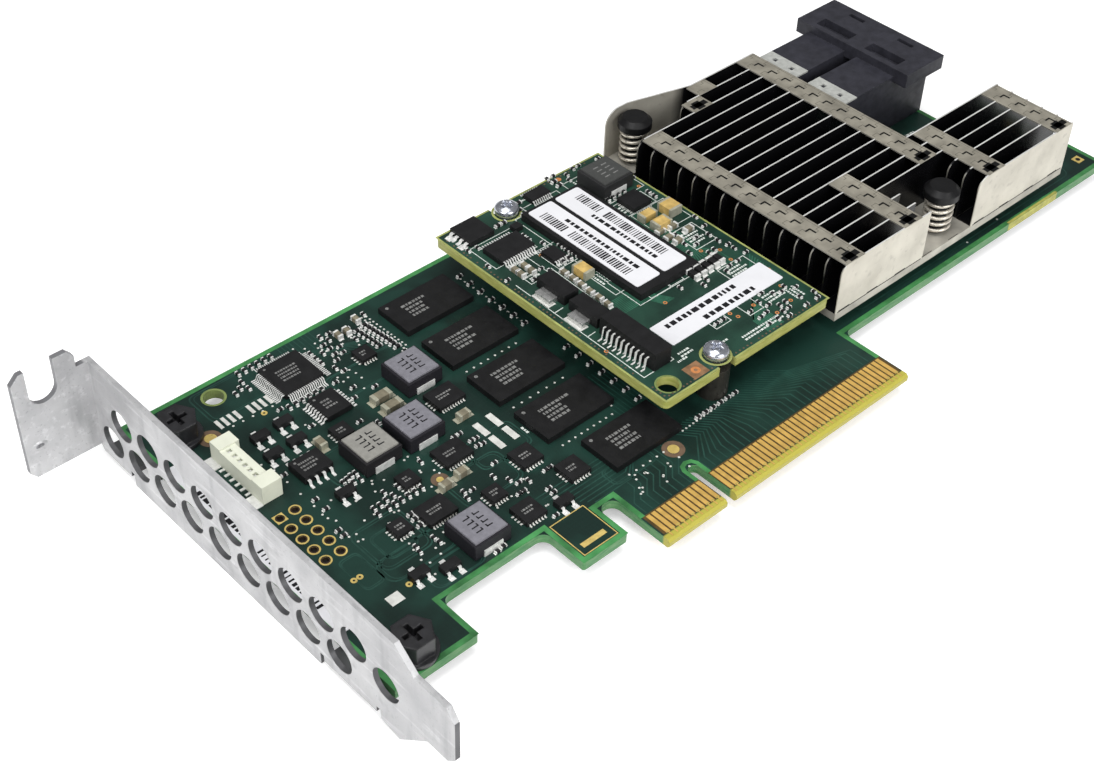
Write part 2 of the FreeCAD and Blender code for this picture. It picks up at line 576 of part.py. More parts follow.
def make_push_pins():
    pins = []
    for x, y in PINS:
        head_low = "pin_top - pin_head_t"
        pins.append(fuse(
            rod(x, y, head_low, "pin_head_r", "pin_head_t * 0.6"),
            cone(x, y, "pin_top - pin_head_t * 0.4", "pin_head_r", "pin_head_r * 0.72", "pin_head_t * 0.4"),
            rod(x, y, "0", "pin_r", "pin_top - pin_head_t"),
            cone(x, y, "-barb_t", "pin_r * 0.6", "barb_r", "barb_t")))
    node("push_pins", group(pins))
    coils = []
    low = value(BASE_TOP) + size("spring_wire") / 2
    high = size("pin_top") - size("pin_head_t") - size("spring_wire") / 2
    for x, y in PINS:
        path = Part.makeHelix((high - low) / size("spring_turns"), high - low, size("spring_r"))
        start = Part.makeCircle(size("spring_wire") / 2, FreeCAD.Vector(size("spring_r"), 0, 0),
                                FreeCAD.Vector(0, 1, 0))
        coil = doc.addObject("Part::Feature", "Coil")
        coil.Shape = Part.Wire(path).makePipeShell([Part.Wire(start)], True, True)
        place(coil, x, y, "%s + spring_wire / 2" % BASE_TOP)
        coils.append(coil)
    node("push_pin_springs", group(coils))


def make_sockets():
    high = "board_t + socket_high"
    face = SOCKET_X + " + socket_long"
    hood_y = "socket_y - (hood_wide - socket_pitch - socket_wide) / 2"
    solids, holes, clips, wafers = [], [], [], []
    solids.append(box(face + " - hood_long", hood_y, "board_t + hood_low", "hood_long", "hood_wide",
                      "hood_high - hood_low"))
    solids.append(box(face + " - hood_long * 0.6", "socket_y", TOP, "hood_long * 0.6",
                      "socket_pitch + socket_wide", "hood_low + 0.2"))
    for i in range(2):
        y = "socket_y + %d * socket_pitch" % i
        mid = y + " + socket_wide / 2"
        solids.append(box(SOCKET_X, y, TOP, "socket_long", "socket_wide", "socket_high"))
        holes.append(box(face + " - mouth_deep", mid + " - mouth_wide / 2", "board_t + mouth_low",
                         "mouth_deep + 1", "mouth_wide", "mouth_high"))
        holes.append(box(SOCKET_X + " - 1", y + " - 1", high + " - clip_t", "clip_long + 1",
                         "socket_wide + 2", "clip_t + 1"))
        holes.append(box(face + " - hood_long + 1.2", mid + " - latch_wide / 2",
                         "board_t + hood_high - latch_deep", "latch_long", "latch_wide", "latch_deep + 1"))
        holes.append(box(face + " - latch_run", mid + " - latch_wide / 2", "board_t + mouth_low + mouth_high",
                         "latch_run + 1", "latch_wide", "hood_high - latch_lid - mouth_low - mouth_high"))
        holes.append(box(face + " - 1.6 - slit_long", mid + " - slit_wide / 2", "board_t + hood_low - 1.2",
                         "slit_long", "slit_wide", "hood_high"))
        plate = box(SOCKET_X, y, high + " - clip_t", "clip_long", "socket_wide", "clip_t")
        squares = [slab(SOCKET_X + " + clip_long * 0.45", "%s + %s * socket_wide" % (y, share),
                        high + " - clip_t - 1", "clip_hole", "clip_hole", "clip_t + 2")
                   for share in ("0.28", "0.72")]
        clips.append(cut(plate, *squares))
        wafers.append(box(face + " - mouth_deep", mid + " - wafer_wide / 2",
                          "board_t + mouth_low + mouth_high / 2 - wafer_t / 2",
                          "wafer_long", "wafer_wide", "wafer_t"))
    node("cable_socket_housing", cut(fuse(*solids), *holes))
    node("cable_socket_clips", group(clips))
    node("cable_socket_wafers", group(wafers))


def make_module():
    corners = [("module_x", "module_y"), ("module_x + module_long", "module_y"),
               ("module_x + module_long", "module_y + module_wide"),
               ("module_x", "module_y + module_wide")]
    plate = pad_of("XY_Plane", corners, "module_t", "Module")
    dress(plate, "Fillet", "Radius", "module_r", upright_at([(value(x), value(y)) for x, y in corners]))
    plate.setExpression("Placement.Base.z", bound(MODULE_LOW))
    low_y, high_y = STAND_YS
    cuts = []
    for y in STAND_YS:
        cuts.append(rod("stand_x", y, MODULE_LOW + " - 1", "stand_notch", "module_t + 2"))
    cuts.append(box("stand_x - stand_notch", "module_y - 1", MODULE_LOW + " - 1", "stand_notch * 2",
                    "stand_in + 1", "module_t + 2"))
    cuts.append(box("stand_x - stand_notch", high_y, MODULE_LOW + " - 1", "stand_notch * 2",
                    "stand_in + 1", "module_t + 2"))
    cuts.append(rod("module_hole_x", "module_hole_y", MODULE_LOW + " - 1", "module_hole_r", "module_t + 2"))
    node("module_board", cut(plate, *cuts))
    posts, pans = [], []
    for y in STAND_YS:
        post = rod("stand_x", y, TOP, "stand_r", "stand_high")
        depth = "pan_shank - module_t"
        posts.append(cut(post, rod("stand_x", y, MODULE_LOW + " - (%s)" % depth,
                                   "pan_shank_r + thread_fit", "pan_shank + 1")))
        pan = fuse(rod("stand_x", y, MODULE_TOP, "pan_r", "pan_high * 0.55"),
                   cone("stand_x", y, MODULE_TOP + " + pan_high * 0.55", "pan_r", "pan_r * 0.7",
                        "pan_high * 0.45"),
                   rod("stand_x", y, MODULE_TOP + " - pan_shank", "pan_shank_r", "pan_shank"))
        pans.append(cut(pan, *drive("stand_x", y, MODULE_TOP + " + pan_high")))
    node("module_standoffs", group(posts))
    node("module_screws", group(pans))
    half = "stand_high / 2"
    groove = box(MATE_X + " + mate_wide * 0.3", "mate_y + 1", "board_t + 1", "mate_wide * 0.4",
                 "mate_long - 2", half)
    lower = box(MATE_X, "mate_y", TOP, "mate_wide", "mate_long", half)
    node("module_lower_connector", cut(lower, groove))
    node("module_upper_connector", fuse(
        box(MATE_X, "mate_y", "board_t + " + half, "mate_wide", "mate_long", half),
        box(MATE_X + " + mate_wide * 0.3 + thread_fit", "mate_y + 1.2", "board_t + 1.2",
            "mate_wide * 0.4 - 2 * thread_fit", "mate_long - 2.4", half)))


def make_module_parts():
    node("module_flash_package", box(FLASH_X, FLASH_Y, MODULE_TOP, "flash_long", "flash_wide",
                                     "flash_high"))
    on_flash = MODULE_TOP + " + flash_high"
    labels = [box("%s + label_gap + %d * (label_wide + label_gap)" % (FLASH_X, i),
                  FLASH_Y + " + label_gap * 2", on_flash, "label_wide", "label_long", "label_t")
              for i in range(2)]
    node("module_bar_labels", group(labels))
    node("module_long_label", slab("module_x + 0.611 * module_long", "module_y + 0.206 * module_wide",
                                   MODULE_TOP, "label_long - 0.4", "label_wide", "label_t"))
    side_x, side_y = "module_x + 0.142 * module_long", "module_y + 0.226 * module_wide"
    node("module_side_socket", slab(side_x, side_y, MODULE_TOP, "side_long", "side_wide", "side_high"))
    feet = [slab(side_x + " - (side_long + side_lead_out) / 2",
                 "%s + (%d - (side_leads - 1) / 2) * side_pitch" % (side_y, i),
                 MODULE_TOP, "side_lead_out", "side_lead_wide", "lead_t")
            for i in range(int(size("side_leads")))]
    node("module_socket_leads", group(feet))
    coil, ends = power_coil("module_x + 0.844 * module_long", "module_y + 0.856 * module_wide", MODULE_TOP)
    node("module_coil_body", coil)
    node("module_coil_ends", group(ends))
    blocks, tabs = [], []
    for i in range(2):
        y = "%s + side_wide / 2 + %d * (power_gap + power_wide) + power_wide / 2 + 0.9" % (side_y, i)
        blocks.append(slab(side_x + " + 0.2", y, MODULE_TOP, "power_long", "power_wide", "power_high"))
        tabs.append(slab(side_x + " + 0.2 - (power_long + tab_long) / 2", y, MODULE_TOP, "tab_long",
                         "tab_wide", "tab_thick"))
    node("module_power_packages", group(blocks))
    node("module_power_tabs", group(tabs))
    for label, parts in MODULE_PARTS.items():
        node(label, group([
            slab("module_x + %s * module_long" % share_x, "module_y + %s * module_wide" % share_y,
                 MODULE_TOP, name + "_long", name + "_wide", name + "_high")
            for name, share_x, share_y, *lengths in parts]))


def power_coil(cx, cy, z):
    """A moulded power inductor and its two folded end plates."""
    body_wide = "coil_long - 2 * coil_lead_t"
    shell = fuse(slab(cx, cy, z + " + coil_lead_t", "coil_wide", body_wide,
                      "coil_high - coil_edge - coil_lead_t"),
                 slab(cx, cy, z + " + coil_high - coil_edge", "coil_wide - 2 * coil_edge",
                      body_wide + " - 2 * coil_edge", "coil_edge"))
    ends = []
    for sign in ("-", "+"):
        at = "%s %s (coil_long - coil_lead_t) / 2" % (cy, sign)
        upright = slab(cx, at, z, "coil_lead", "coil_lead_t", "coil_lead_up")
        inner = "%s %s (coil_long / 2 - coil_lead_out)" % (cy, sign)
        sole = slab(cx, inner, z, "coil_lead", "coil_lead_out * 2", "coil_lead_t")
        ends.append(fuse(upright, sole))
    return shell, ends


def make_coils():
    ends = []
    for name in ("coil_a", "coil_b", "coil_c", "coil_d"):
        shell, pair = power_coil(name + "_x", name + "_y", TOP)
        node(name + "_body", shell)
        ends.extend(pair)
    node("coil_end_plates", group(ends))


def make_memory():
    spots = [("mem_x", "mem_y + %d * mem_pitch" % (3 - i)) for i in range(4)]
    spots.append(("mem_last_x", "mem_last_y"))
    for i, (x, y) in enumerate(spots, 1):
        node("memory_chip_%d" % i, box(x, y, TOP, "mem_long", "mem_wide", "mem_t"))


def leads(cx, cy, long, wide, count, pitch, side_pairs, lead_wide):
    """Flat feet in rows beside a body that is long by wide."""
    rows = []
    for i in range(count):
        shift = "(%d) * %s / 2" % (2 * i - count + 1, pitch)
        for sign in ("-", "+"):
            if "x" in side_pairs:
                mid = "%s %s ((%s) + lead_out) / 2" % (cx, sign, long)
                rows.append(slab(mid, "%s + %s" % (cy, shift), TOP, "lead_out", lead_wide, "lead_t"))
            if "y" in side_pairs:
                mid = "%s %s ((%s) + lead_out) / 2" % (cy, sign, wide)
                rows.append(slab("%s + %s" % (cx, shift), mid, TOP, lead_wide, "lead_out", "lead_t"))
    return rows


def make_leaded_chips():
    lift = "board_t + stand_off"
    node("quad_flat_chip", slab("quad_x", "quad_y", lift, "quad_wide", "quad_wide", "quad_t"))
    node("quad_flat_leads", group(leads("quad_x", "quad_y", "quad_wide", "quad_wide",
                                        int(size("quad_row")), "quad_pitch", "xy", "quad_lead")))
    node("two_row_chip", slab("rows_x", "rows_y", lift, "rows_long", "rows_wide", "rows_high"))
    node("two_row_leads", group(leads("rows_x", "rows_y", "rows_long", "rows_wide", 8, "rows_pitch",
                                      "x", "rows_lead")))
    node("eight_lead_chip", slab("eight_x", "eight_y", lift, "eight_long", "eight_wide", "eight_high"))
    node("eight_lead_chip_leads", group(leads("eight_x", "eight_y", "eight_long", "eight_wide", 4,
                                              "eight_pitch", "y", "eight_lead")))
    bodies, feet = [], []
    for name, *centre in TRIOS:
        cx, cy = name + "_x", name + "_y"
        bodies.append(slab(cx, cy, lift, "trio_long", "trio_wide", "trio_high"))
        for along, side in (("-", "-"), ("+", "-"), ("+ 0 *", "+")):
            feet.append(slab("%s %s trio_spread" % (cx, along),
                             "%s %s (trio_wide + trio_out) / 2" % (cy, side),
                             TOP, "trio_lead", "trio_out", "lead_t"))
    node("small_transistors", group(bodies))
    node("small_transistor_leads", group(feet))


def make_board_parts():
    for label, parts in BOARD_PARTS.items():
        node(label, group([
            slab(name + "_x", name + "_y", TOP, name + "_long", name + "_wide", name + "_high")
            for name, *numbers in parts]))
    tiny = []
    for name, *numbers, lengthwise in TINY_ROWS:
        long, wide = ("tiny_long", "tiny_wide") if lengthwise else ("tiny_wide", "tiny_long")
        run = math.hypot(size(name + "_end_x") - size(name + "_x"), size(name + "_end_y") - size(name + "_y"))
        steps = round(run / size(name + "_pitch"))
        for i in range(steps + 1):
            at = ["{0}_{1} + {2} / {3} * ({0}_end_{1} - {0}_{1})".format(name, axis, i, steps)
                  for axis in ("x", "y")]
            tiny.append(slab(at[0], at[1], TOP, long, wide, "tiny_wide"))
    node("chip_resistors", group(tiny))


def make_pads():
    rings = []
    for i, (x, y) in enumerate(header_spots()):
        if i == 0:
            film = slab(x, y, TOP, "ring_r * 1.8", "ring_r * 1.8", "pad_film")
        else:
            film = rod(x, y, TOP, "ring_r", "pad_film")
        rings.append(cut(film, rod(x, y, "board_t - 1", "ring_hole_r", "2")))
    node("header_rings", group(rings))
    gold = [rod(name + "_x", name + "_y", TOP, name + "_r", "pad_film") for name, *numbers in GOLD_DOTS]
    gold.append(slab("board_gap + board_len - 2.8", "lower_edge + 3.4", TOP, "1.7", "1.7", "pad_film"))
    node("gold_pads", group(gold))
    tin = [slab(name + "_x", name + "_y", TOP, name + "_long", name + "_wide", "pad_film")
           for name, *numbers in TIN_PADS]
    for name, *numbers in TIN_ROWS:
        for i in range(4):
            tin.append(slab("%s_x + %d * 1.8 * %s_long" % (name, i, name), name + "_y", TOP,
                            name + "_long", name + "_wide", "pad_film"))
    node("solder_pads", group(tin))
    serial_y = "screw_b_y + flange_r + serial_low"
    node("board_label", box("board_gap + serial_x", serial_y, TOP, "serial_long",
                            "screw_a_y - flange_r - serial_high - (%s)" % serial_y, "label_t"))


def make_wire_connector():
    ears = [box("plug_x", y, TOP, "plug_wide + plug_ear", "plug_ear_long", "plug_high + plug_ear_up")
            for y in ("plug_y", "plug_y + plug_long - plug_ear_long")]
    shell = fuse(box("plug_x", "plug_y", TOP, "plug_wide", "plug_long", "plug_high"), *ears)
    in_x = "plug_x + plug_in"
    spots = ["plug_y + plug_long / 2 + (%d) * plug_pitch / 2" % (2 * i - 5) for i in range(6)]
    wells = [slab(in_x, y, "board_t + plug_floor", "plug_hole", "plug_hole", "plug_high") for y in spots]
    node("wire_connector_housing", cut(shell, *wells))
    pins = []
    for y in spots:
        pins.append(slab(in_x, y, "board_t + plug_floor", "plug_pin", "plug_pin",
                         "plug_high - plug_floor - 0.3"))
        pins.append(slab("plug_x - plug_tail / 2", y, TOP, "plug_tail", "plug_pin", "lead_t"))
    node("wire_connector_pins", group(pins))
    anchors = [slab("plug_x - anchor_wide / 2", y, TOP, "anchor_wide", "anchor_long", "lead_t")
               for y in ("plug_y + plug_ear_long / 2", "plug_y + plug_long - plug_ear_long / 2")]
    node("wire_connector_anchors", group(anchors))


def check_and_export():
    doc.recompute()
    for obj in doc.Objects:
        bad = [s for s in obj.State if s in ("Invalid", "Error")]
        if bad:
            raise RuntimeError("%s (%s) is %s" % (obj.Name, obj.Label, bad))
    for obj in NODES:
        shape = obj.Shape
        if shape.isNull() or not shape.isValid() or not shape.Solids:
            raise RuntimeError("%s has no valid solid" % obj.Label)
    for obj in NODES:
        obj.Shape.exportStep("parts/%s.step" % obj.Label)
    print("%d nodes" % len(NODES))


make_board()
make_contacts()
make_bracket()
make_bracket_screws()
make_controller()
make_sink_base()
make_fins()
make_push_pins()
make_sockets()
make_module()
make_module_parts()
make_coils()
make_memory()
make_leaded_chips()
make_board_parts()
make_pads()
make_wire_connector()
check_and_export()
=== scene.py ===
"""Looks for a low-profile storage controller card, in the CAD model's own frame.

Sizes below are in millimetres and become metres when a piece is poured into its mesh.
+X runs along the card from the bracket, +Y from the contact edge to the top edge, +Z out of
the component side.
"""
import math

import bpy
import numpy as np
from mathutils import Euler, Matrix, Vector


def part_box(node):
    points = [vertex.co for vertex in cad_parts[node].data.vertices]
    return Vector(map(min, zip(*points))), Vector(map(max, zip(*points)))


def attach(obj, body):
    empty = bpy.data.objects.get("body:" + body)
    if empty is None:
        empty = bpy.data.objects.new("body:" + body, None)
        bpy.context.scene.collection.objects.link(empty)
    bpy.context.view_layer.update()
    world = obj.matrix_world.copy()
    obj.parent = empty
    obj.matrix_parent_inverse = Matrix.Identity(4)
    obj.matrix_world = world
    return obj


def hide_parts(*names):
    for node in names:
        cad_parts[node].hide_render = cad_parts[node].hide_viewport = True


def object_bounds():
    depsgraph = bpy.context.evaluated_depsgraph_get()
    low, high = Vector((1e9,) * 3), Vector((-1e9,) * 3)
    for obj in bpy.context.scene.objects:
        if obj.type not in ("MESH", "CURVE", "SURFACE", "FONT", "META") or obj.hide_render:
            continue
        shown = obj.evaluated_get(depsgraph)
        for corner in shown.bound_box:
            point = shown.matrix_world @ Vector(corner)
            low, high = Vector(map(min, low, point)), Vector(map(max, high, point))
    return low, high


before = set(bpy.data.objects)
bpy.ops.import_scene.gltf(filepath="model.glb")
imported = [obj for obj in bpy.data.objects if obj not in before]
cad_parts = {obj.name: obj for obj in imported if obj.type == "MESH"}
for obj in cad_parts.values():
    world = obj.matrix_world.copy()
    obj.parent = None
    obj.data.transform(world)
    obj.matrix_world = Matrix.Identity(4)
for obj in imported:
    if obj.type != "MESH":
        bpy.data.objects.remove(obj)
cad_low, cad_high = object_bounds()
MM = 0.001
rng = np.random.default_rng(11)


# ---------------------------------------------------------------- places
def box(node):
    """A CAD node's lowest and highest corners, in millimetres."""
    low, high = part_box(node)
    return np.array(low) / MM, np.array(high) / MM


def solids(node):
    """The box of each separate solid in a CAD node, lowest X first: triangles pass the lowest
    label round their corners until no label changes."""
    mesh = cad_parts[node].data
    spots = np.empty(3 * len(mesh.vertices))
    mesh.vertices.foreach_get("co", spots)
    spots, index = np.unique(np.round(spots.reshape(-1, 3) / MM, 3), axis=0, return_inverse=True)
    corners = np.empty(len(mesh.loops), int)
    mesh.loops.foreach_get("vertex_index", corners)
    faces = index.reshape(-1)[corners].reshape(-1, 3)
    label = np.arange(len(spots))
    while True:
        new = label.copy()
        np.minimum.at(new, faces.reshape(-1), np.repeat(label[faces].min(1), 3))
        new = new[new]
        if (new == label).all():
            break
        label = new
    return np.array([(spots[label == k].min(0), spots[label == k].max(0)) for k in np.unique(label)])


def bodies_of(*nodes):
    """Lowest corner, highest corner and middle of each solid in the nodes."""
    return [(low, high, (low + high) / 2) for node in nodes for low, high in solids(node)]


BOARD_LOW, BOARD_HIGH = box("main_board")
BOARD_TOP = BOARD_HIGH[2]
DECK_LOW, DECK_HIGH = box("module_board")
DECK_TOP = DECK_HIGH[2]
MEMORY_CHIPS = ["memory_chip_%d" % i for i in range(1, 6)]
FREE_HOLE, MODULE_HOLE, COPPER_SQUARE = (17.0, 65.3), (64.0, 17.6), (69.3, 17.1)
VENT_TOP = 11.3
# Heights of thin layers over the face that carries them, so that no two of them coincide.
TRACK_UP, AREA_UP, RIM_UP, RING_UP, PRINT_UP, PAD_UP, CAP_UP = 0.01, 0.011, 0.012, 0.014, 0.02, 0.03, 0.056


# ---------------------------------------------------------------- surfaces
SIGNS = np.array([[-1, -1], [1, -1], [1, 1], [-1, 1]])


def points(places):
    """Places as rows of numbers, also when one place is given."""
    return np.atleast_2d(np.asarray(places, float))


def pairs(x, y):
    """Points from x and y, either of which may be one number."""
    return np.stack(np.broadcast_arrays(x, y), -1)


def row(start, end, count):
    """Evenly spaced points from start to end."""
    return np.linspace(np.asarray(start, float), np.asarray(end, float), count)


def steps(count, pitch):
    """Evenly spaced places about zero."""
    return (np.arange(count) - (count - 1) / 2) * pitch


def circle(sides, radius=1.0):
    """Points of a circle about zero."""
    a = np.linspace(0, 2 * math.pi, sides, endpoint=False)
    return radius * np.stack([np.cos(a), np.sin(a)], -1)


def turned(u, v, turn, centres):
    """Local places u and v, turned by each part's angle in degrees and moved to its centre."""
    shape = (-1,) + (1,) * (np.ndim(u) - 1)
    angle = np.radians(np.broadcast_to(np.asarray(turn, float), (len(centres),))).reshape(shape)
    x = u * np.cos(angle) - v * np.sin(angle) + centres[:, 0].reshape(shape)
    y = u * np.sin(angle) + v * np.cos(angle) + centres[:, 1].reshape(shape)
    return np.stack([x, y], -1)


def at_height(flat, z):
    """Corners from flat points at a height, or at a height for each."""
    return np.concatenate([flat, np.broadcast_to(z, flat.shape[:-1])[..., None]], -1).reshape(-1, 3)


def hoop(sides):
    """Quads between two circles of corners."""
    i = np.arange(sides)
    j = (i + 1) % sides
    return np.stack([i, j, sides + j, sides + i], -1)


def repeated(one, count, step):
    """One part's faces, for each of several parts of so many corners."""
    return (np.asarray(one)[None] + step * np.arange(count)[:, None, None]).reshape(-1, len(one[0]))


def join(*parts):
    """One set of corners and faces from several."""
    corners, faces, start = [], [], 0
    for places, polygons in parts:
        corners.append(np.asarray(places, float).reshape(-1, 3))
        faces.extend([tuple(int(i) + start for i in polygon) for polygon in polygons])
        start += len(corners[-1])
    return np.concatenate(corners), faces


def pour(name, part, material, smooth=False):
    """A piece from corners in millimetres and faces. It rides on the card."""
    corners, faces = part
    data = bpy.data.meshes.new(name)
    data.from_pydata((np.asarray(corners) * MM).tolist(), [], [tuple(int(i) for i in f) for f in faces])
    data.polygons.foreach_set("use_smooth", [smooth] * len(data.polygons))
    data.materials.append(material)
    data.validate()
    data.update()
    piece = bpy.data.objects.new(name, data)
    bpy.context.scene.collection.objects.link(piece)
    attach(piece, "root")
    return piece


def blocks(centres, sizes, base, chamfer=0.05, turn=0.0):
    """Blocks with chamfered tops. Each ring of a block is its half sizes times the four corner
    signs, drawn in by the chamfer on the top ring and turned about the block's centre."""
    centres = points(centres)
    sizes = np.broadcast_to(np.asarray(sizes, float), (len(centres), 3))
    half = sizes[:, None, None, :2] / 2 - np.array([0.0, 0.0, chamfer])[:, None, None]
    flat = half * SIGNS
    lift = np.array([0.0, 1.0, 1.0]) * sizes[:, 2:] + [0.0, -chamfer, 0.0] + np.reshape(base, (-1, 1))
    corners = at_height(turned(flat[..., 0], flat[..., 1], turn, centres), lift[:, :, None])
    sides = [tuple(4 * r + f) for r in range(2) for f in hoop(4)]
    return corners, repeated([(3, 2, 1, 0), (8, 9, 10, 11)] + sides, len(centres), 12)


def rings(centres, outer, inner, z, sides=14):
    """Flat rings: two circles of points about each centre, joined by quads."""
    flat = points(centres)[:, None, None] + circle(sides) * np.array([outer, inner])[:, None, None]
    return at_height(flat, z), repeated(hoop(sides), len(flat), 2 * sides)


def dots(centres, radius, z, sides=10):
    """Flat discs: one circle of points and one face each."""
    flat = points(centres)[:, None] + circle(sides, radius)
    return at_height(flat, z), np.arange(len(flat) * sides).reshape(-1, sides)


def lining(centres, radius, sides):
    """Walls of through holes in the main board: a circle about each centre, carried from the
    board's underside to its top, facing inwards."""
    flat = np.repeat(points(centres)[:, None, None] + circle(sides, radius), 2, 1)
    corners = at_height(flat, np.array([[0.0], [BOARD_TOP + RING_UP]]))
    return corners, repeated(hoop(sides)[:, [1, 0, 3, 2]], len(flat), 2 * sides)


def patches(centres, sizes, z, turn=0.0):
    """Flat rectangles: half sizes times the four corner signs, turned about each centre."""
    centres = points(centres)
    flat = np.broadcast_to(np.asarray(sizes, float), centres.shape)[:, None] / 2 * SIGNS
    corners = at_height(turned(flat[..., 0], flat[..., 1], turn, centres), z)
    return corners, np.arange(len(corners)).reshape(-1, 4)


def ribbon(path, wide, z, closed=False, inside=False):
    """A flat strip along a path: each point moved left and right along its mitre, which is the
    sum of the neighbouring normals over one plus their dot product. An inside strip lies wholly
    on the path's left."""
    p = np.asarray(path, float)
    ahead = np.roll(p, -1, 0) - p if closed else np.diff(p, axis=0, append=2 * p[-1:] - p[-2:-1])
    ahead /= np.maximum(np.linalg.norm(ahead, axis=1, keepdims=True), 1e-9)
    behind = np.roll(ahead, 1, 0)
    if not closed:
        behind[0] = ahead[0]
    left, right = (np.stack([-way[:, 1], way[:, 0]], -1) for way in (ahead, behind))
    mitre = (left + right) / (1 + np.sum(left * right, 1, keepdims=True))
    offs = np.array([wide, 0.0]) if inside else np.array([wide / 2, -wide / 2])
    i = np.arange(len(p) if closed else len(p) - 1)
    j = (i + 1) % len(p)
    return (at_height(p[:, None] + mitre[:, None] * offs[:, None], z),
            np.stack([2 * i + 1, 2 * j + 1, 2 * j, 2 * i], -1))


def gulls(roots, turn, out, drop, wide, thick=0.12):
    """Bent leads: a shoulder, a slope and a foot. The side profile is a list of (out, up)
    points and the same points raised by the thickness, carried across the lead's width."""
    line = np.array([[0, drop], [out * 0.3, drop], [out * 0.5, 0], [out, 0]])
    side = np.concatenate([line, line[::-1] + [0, thick]])
    u, v = np.meshgrid(side[:, 0], [-wide / 2, wide / 2], indexing="ij")
    corners = at_height(turned(u[None], v[None], turn, roots), side[:, 1, None] + roots[:, 2, None, None])
    one = [(2 * i, 2 * ((i + 1) % 8), 2 * ((i + 1) % 8) + 1, 2 * i + 1) for i in range(8)]
    one += [(2 * i, 2 * (7 - i), 2 * (6 - i), 2 * (i + 1)) for i in range(3)]
    one += [(2 * (i + 1) + 1, 2 * (6 - i) + 1, 2 * (7 - i) + 1, 2 * i + 1) for i in range(3)]
    return corners, repeated(one, len(roots), 16)


def lead_row(low, high, side, count, pitch, out, drop, wide, z):
    """Bent leads along one side of a body's box: side is +x, -x, +y or -y."""
    axis = "xy".index(side[1])
    roots = np.full((count, 3), z + PRINT_UP, float)
    roots[:, axis] = (high if side[0] == "+" else low)[axis]
    roots[:, 1 - axis] = (low + high)[1 - axis] / 2 + steps(count, pitch)
    return gulls(roots, {"+x": 0, "-x": 180, "+y": 90, "-y": -90}[side], out, drop, wide)


def passives(spots, size, z, turn=0.0):
    """Chip parts: a body between two metal ends on a wider pad. Returns the bodies and ends."""
    spots = points(spots)
    long, wide, high = size
    along = np.array([math.cos(math.radians(turn)), math.sin(math.radians(turn))])
    bodies = blocks(spots, (long * 0.62, wide * 0.94, high * 0.95), z, 0.03, turn)
    ends = [blocks(spots + side * along * long * 0.40, (long * 0.20, wide, high), z, 0.05, turn)
            for side in (-1, 1)]
    pads = [patches(spots + side * along * long * 0.50, (long * 0.24, wide), z + PAD_UP, turn)
            for side in (-1, 1)]
    return bodies, join(*ends, *pads)


def grown(places, by):
    """Boxes made wider all round, or boxes about spots."""
    places = np.asarray(places, float)
    pair = places if places.ndim == 3 else np.repeat(places[:, None], 2, 1)
    return pair + np.array([[-by], [by]])


def clear_of(spots, others, gap):
    """The spots that stand at least the gap from every one of the others."""
    spots = np.asarray(spots, float)
    away = np.linalg.norm(spots[:, None] - np.asarray(others)[None], axis=-1)
    return spots[(away > gap).all(1)]


def scatter(low, high, count, taken, gap=1.3, step=0.65):
    """Seeded places in a rectangle, drawn to a fine square pitch: one stays if it lies outside
    every taken box by half the gap, and no earlier one is nearer than the gap."""
    spots = np.round(rng.uniform(low, high, (count, 2)) / step) * step
    away = np.maximum(taken[None, :, 0] - spots[:, None], spots[:, None] - taken[None, :, 1]).max(-1)
    spots = spots[(away > gap / 2).all(1)]
    apart = np.linalg.norm(spots[:, None] - spots[None], axis=-1)
    return spots[~np.tril(apart < gap, -1).any(1)]


def fill(groups, areas, taken, size, gap):
    """Adds scattered chip parts to the groups: half of each area's along X, half along Y."""
    for low, high, count in areas:
        spots = scatter(low, high, count, taken, gap)
        half = len(spots) // 2
        groups += [(spots[:half], size, 0), (spots[half:], size, 90)]


def print_rows(centre, long, rows, tall, pitch, z, turn=0.0):
    """Rows of plain dashes: seeded lengths laid end to end with gaps, centred and turned."""
    made = []
    for up in -steps(rows, pitch):
        runs = rng.uniform(0.45, 1.5, 24) * tall
        starts = np.cumsum(runs + 0.38 * tall) - runs
        keep = starts + runs < long * rng.uniform(0.75, 1.0)
        spots = turned(starts[keep] + runs[keep] / 2 - long / 2, up, turn, points(centre))
        made.append(patches(spots, pairs(runs[keep], tall), z, turn))
    return join(*made)


def bar_code(centre, long, tall, count, z, turn=0.0):
    """Upright bars of seeded widths side by side."""
    slots = (np.arange(count) + 0.5) / count * long - long / 2
    wide = rng.uniform(0.25, 0.8, count) * long / count
    return patches(turned(slots, 0.0, turn, points(centre)), pairs(wide, tall), z, turn)


def slab_of(path, low, high):
    """A flat-topped slab from an anticlockwise outline: a wall of quads and one top face."""
    n = len(path)
    corners = at_height(np.stack([path, path]), np.array([[low], [high]]))
    return corners, list(hoop(n)) + [range(n, 2 * n)]


def rectangle(low, high):
    """The four corners of a rectangle, anticlockwise."""
    return [(low[0], low[1]), (high[0], low[1]), (high[0], high[1]), (low[0], high[1])]


def round_corners(path, radius, count=5):
    """Each corner of a closed path replaced by points of a curve that touches both its sides."""
    p = np.asarray(path, float)
    before, after = np.roll(p, 1, 0) - p, np.roll(p, -1, 0) - p
    before /= np.linalg.norm(before, axis=1, keepdims=True)
    after /= np.linalg.norm(after, axis=1, keepdims=True)
    t = np.linspace(0, 1, count)[None, :, None]
    start, end = p + before * radius, p + after * radius
    curve = (1 - t) ** 2 * start[:, None] + 2 * t * (1 - t) * p[:, None] + t ** 2 * end[:, None]
    return curve.reshape(-1, 2)


def on_front(part, y):
    """A flat part turned up: its X stays, its Y becomes Z, and it faces -Y at a given place."""
    corners, faces = part
    return np.column_stack([corners[:, 0], np.full(len(corners), y), corners[:, 1]]), faces


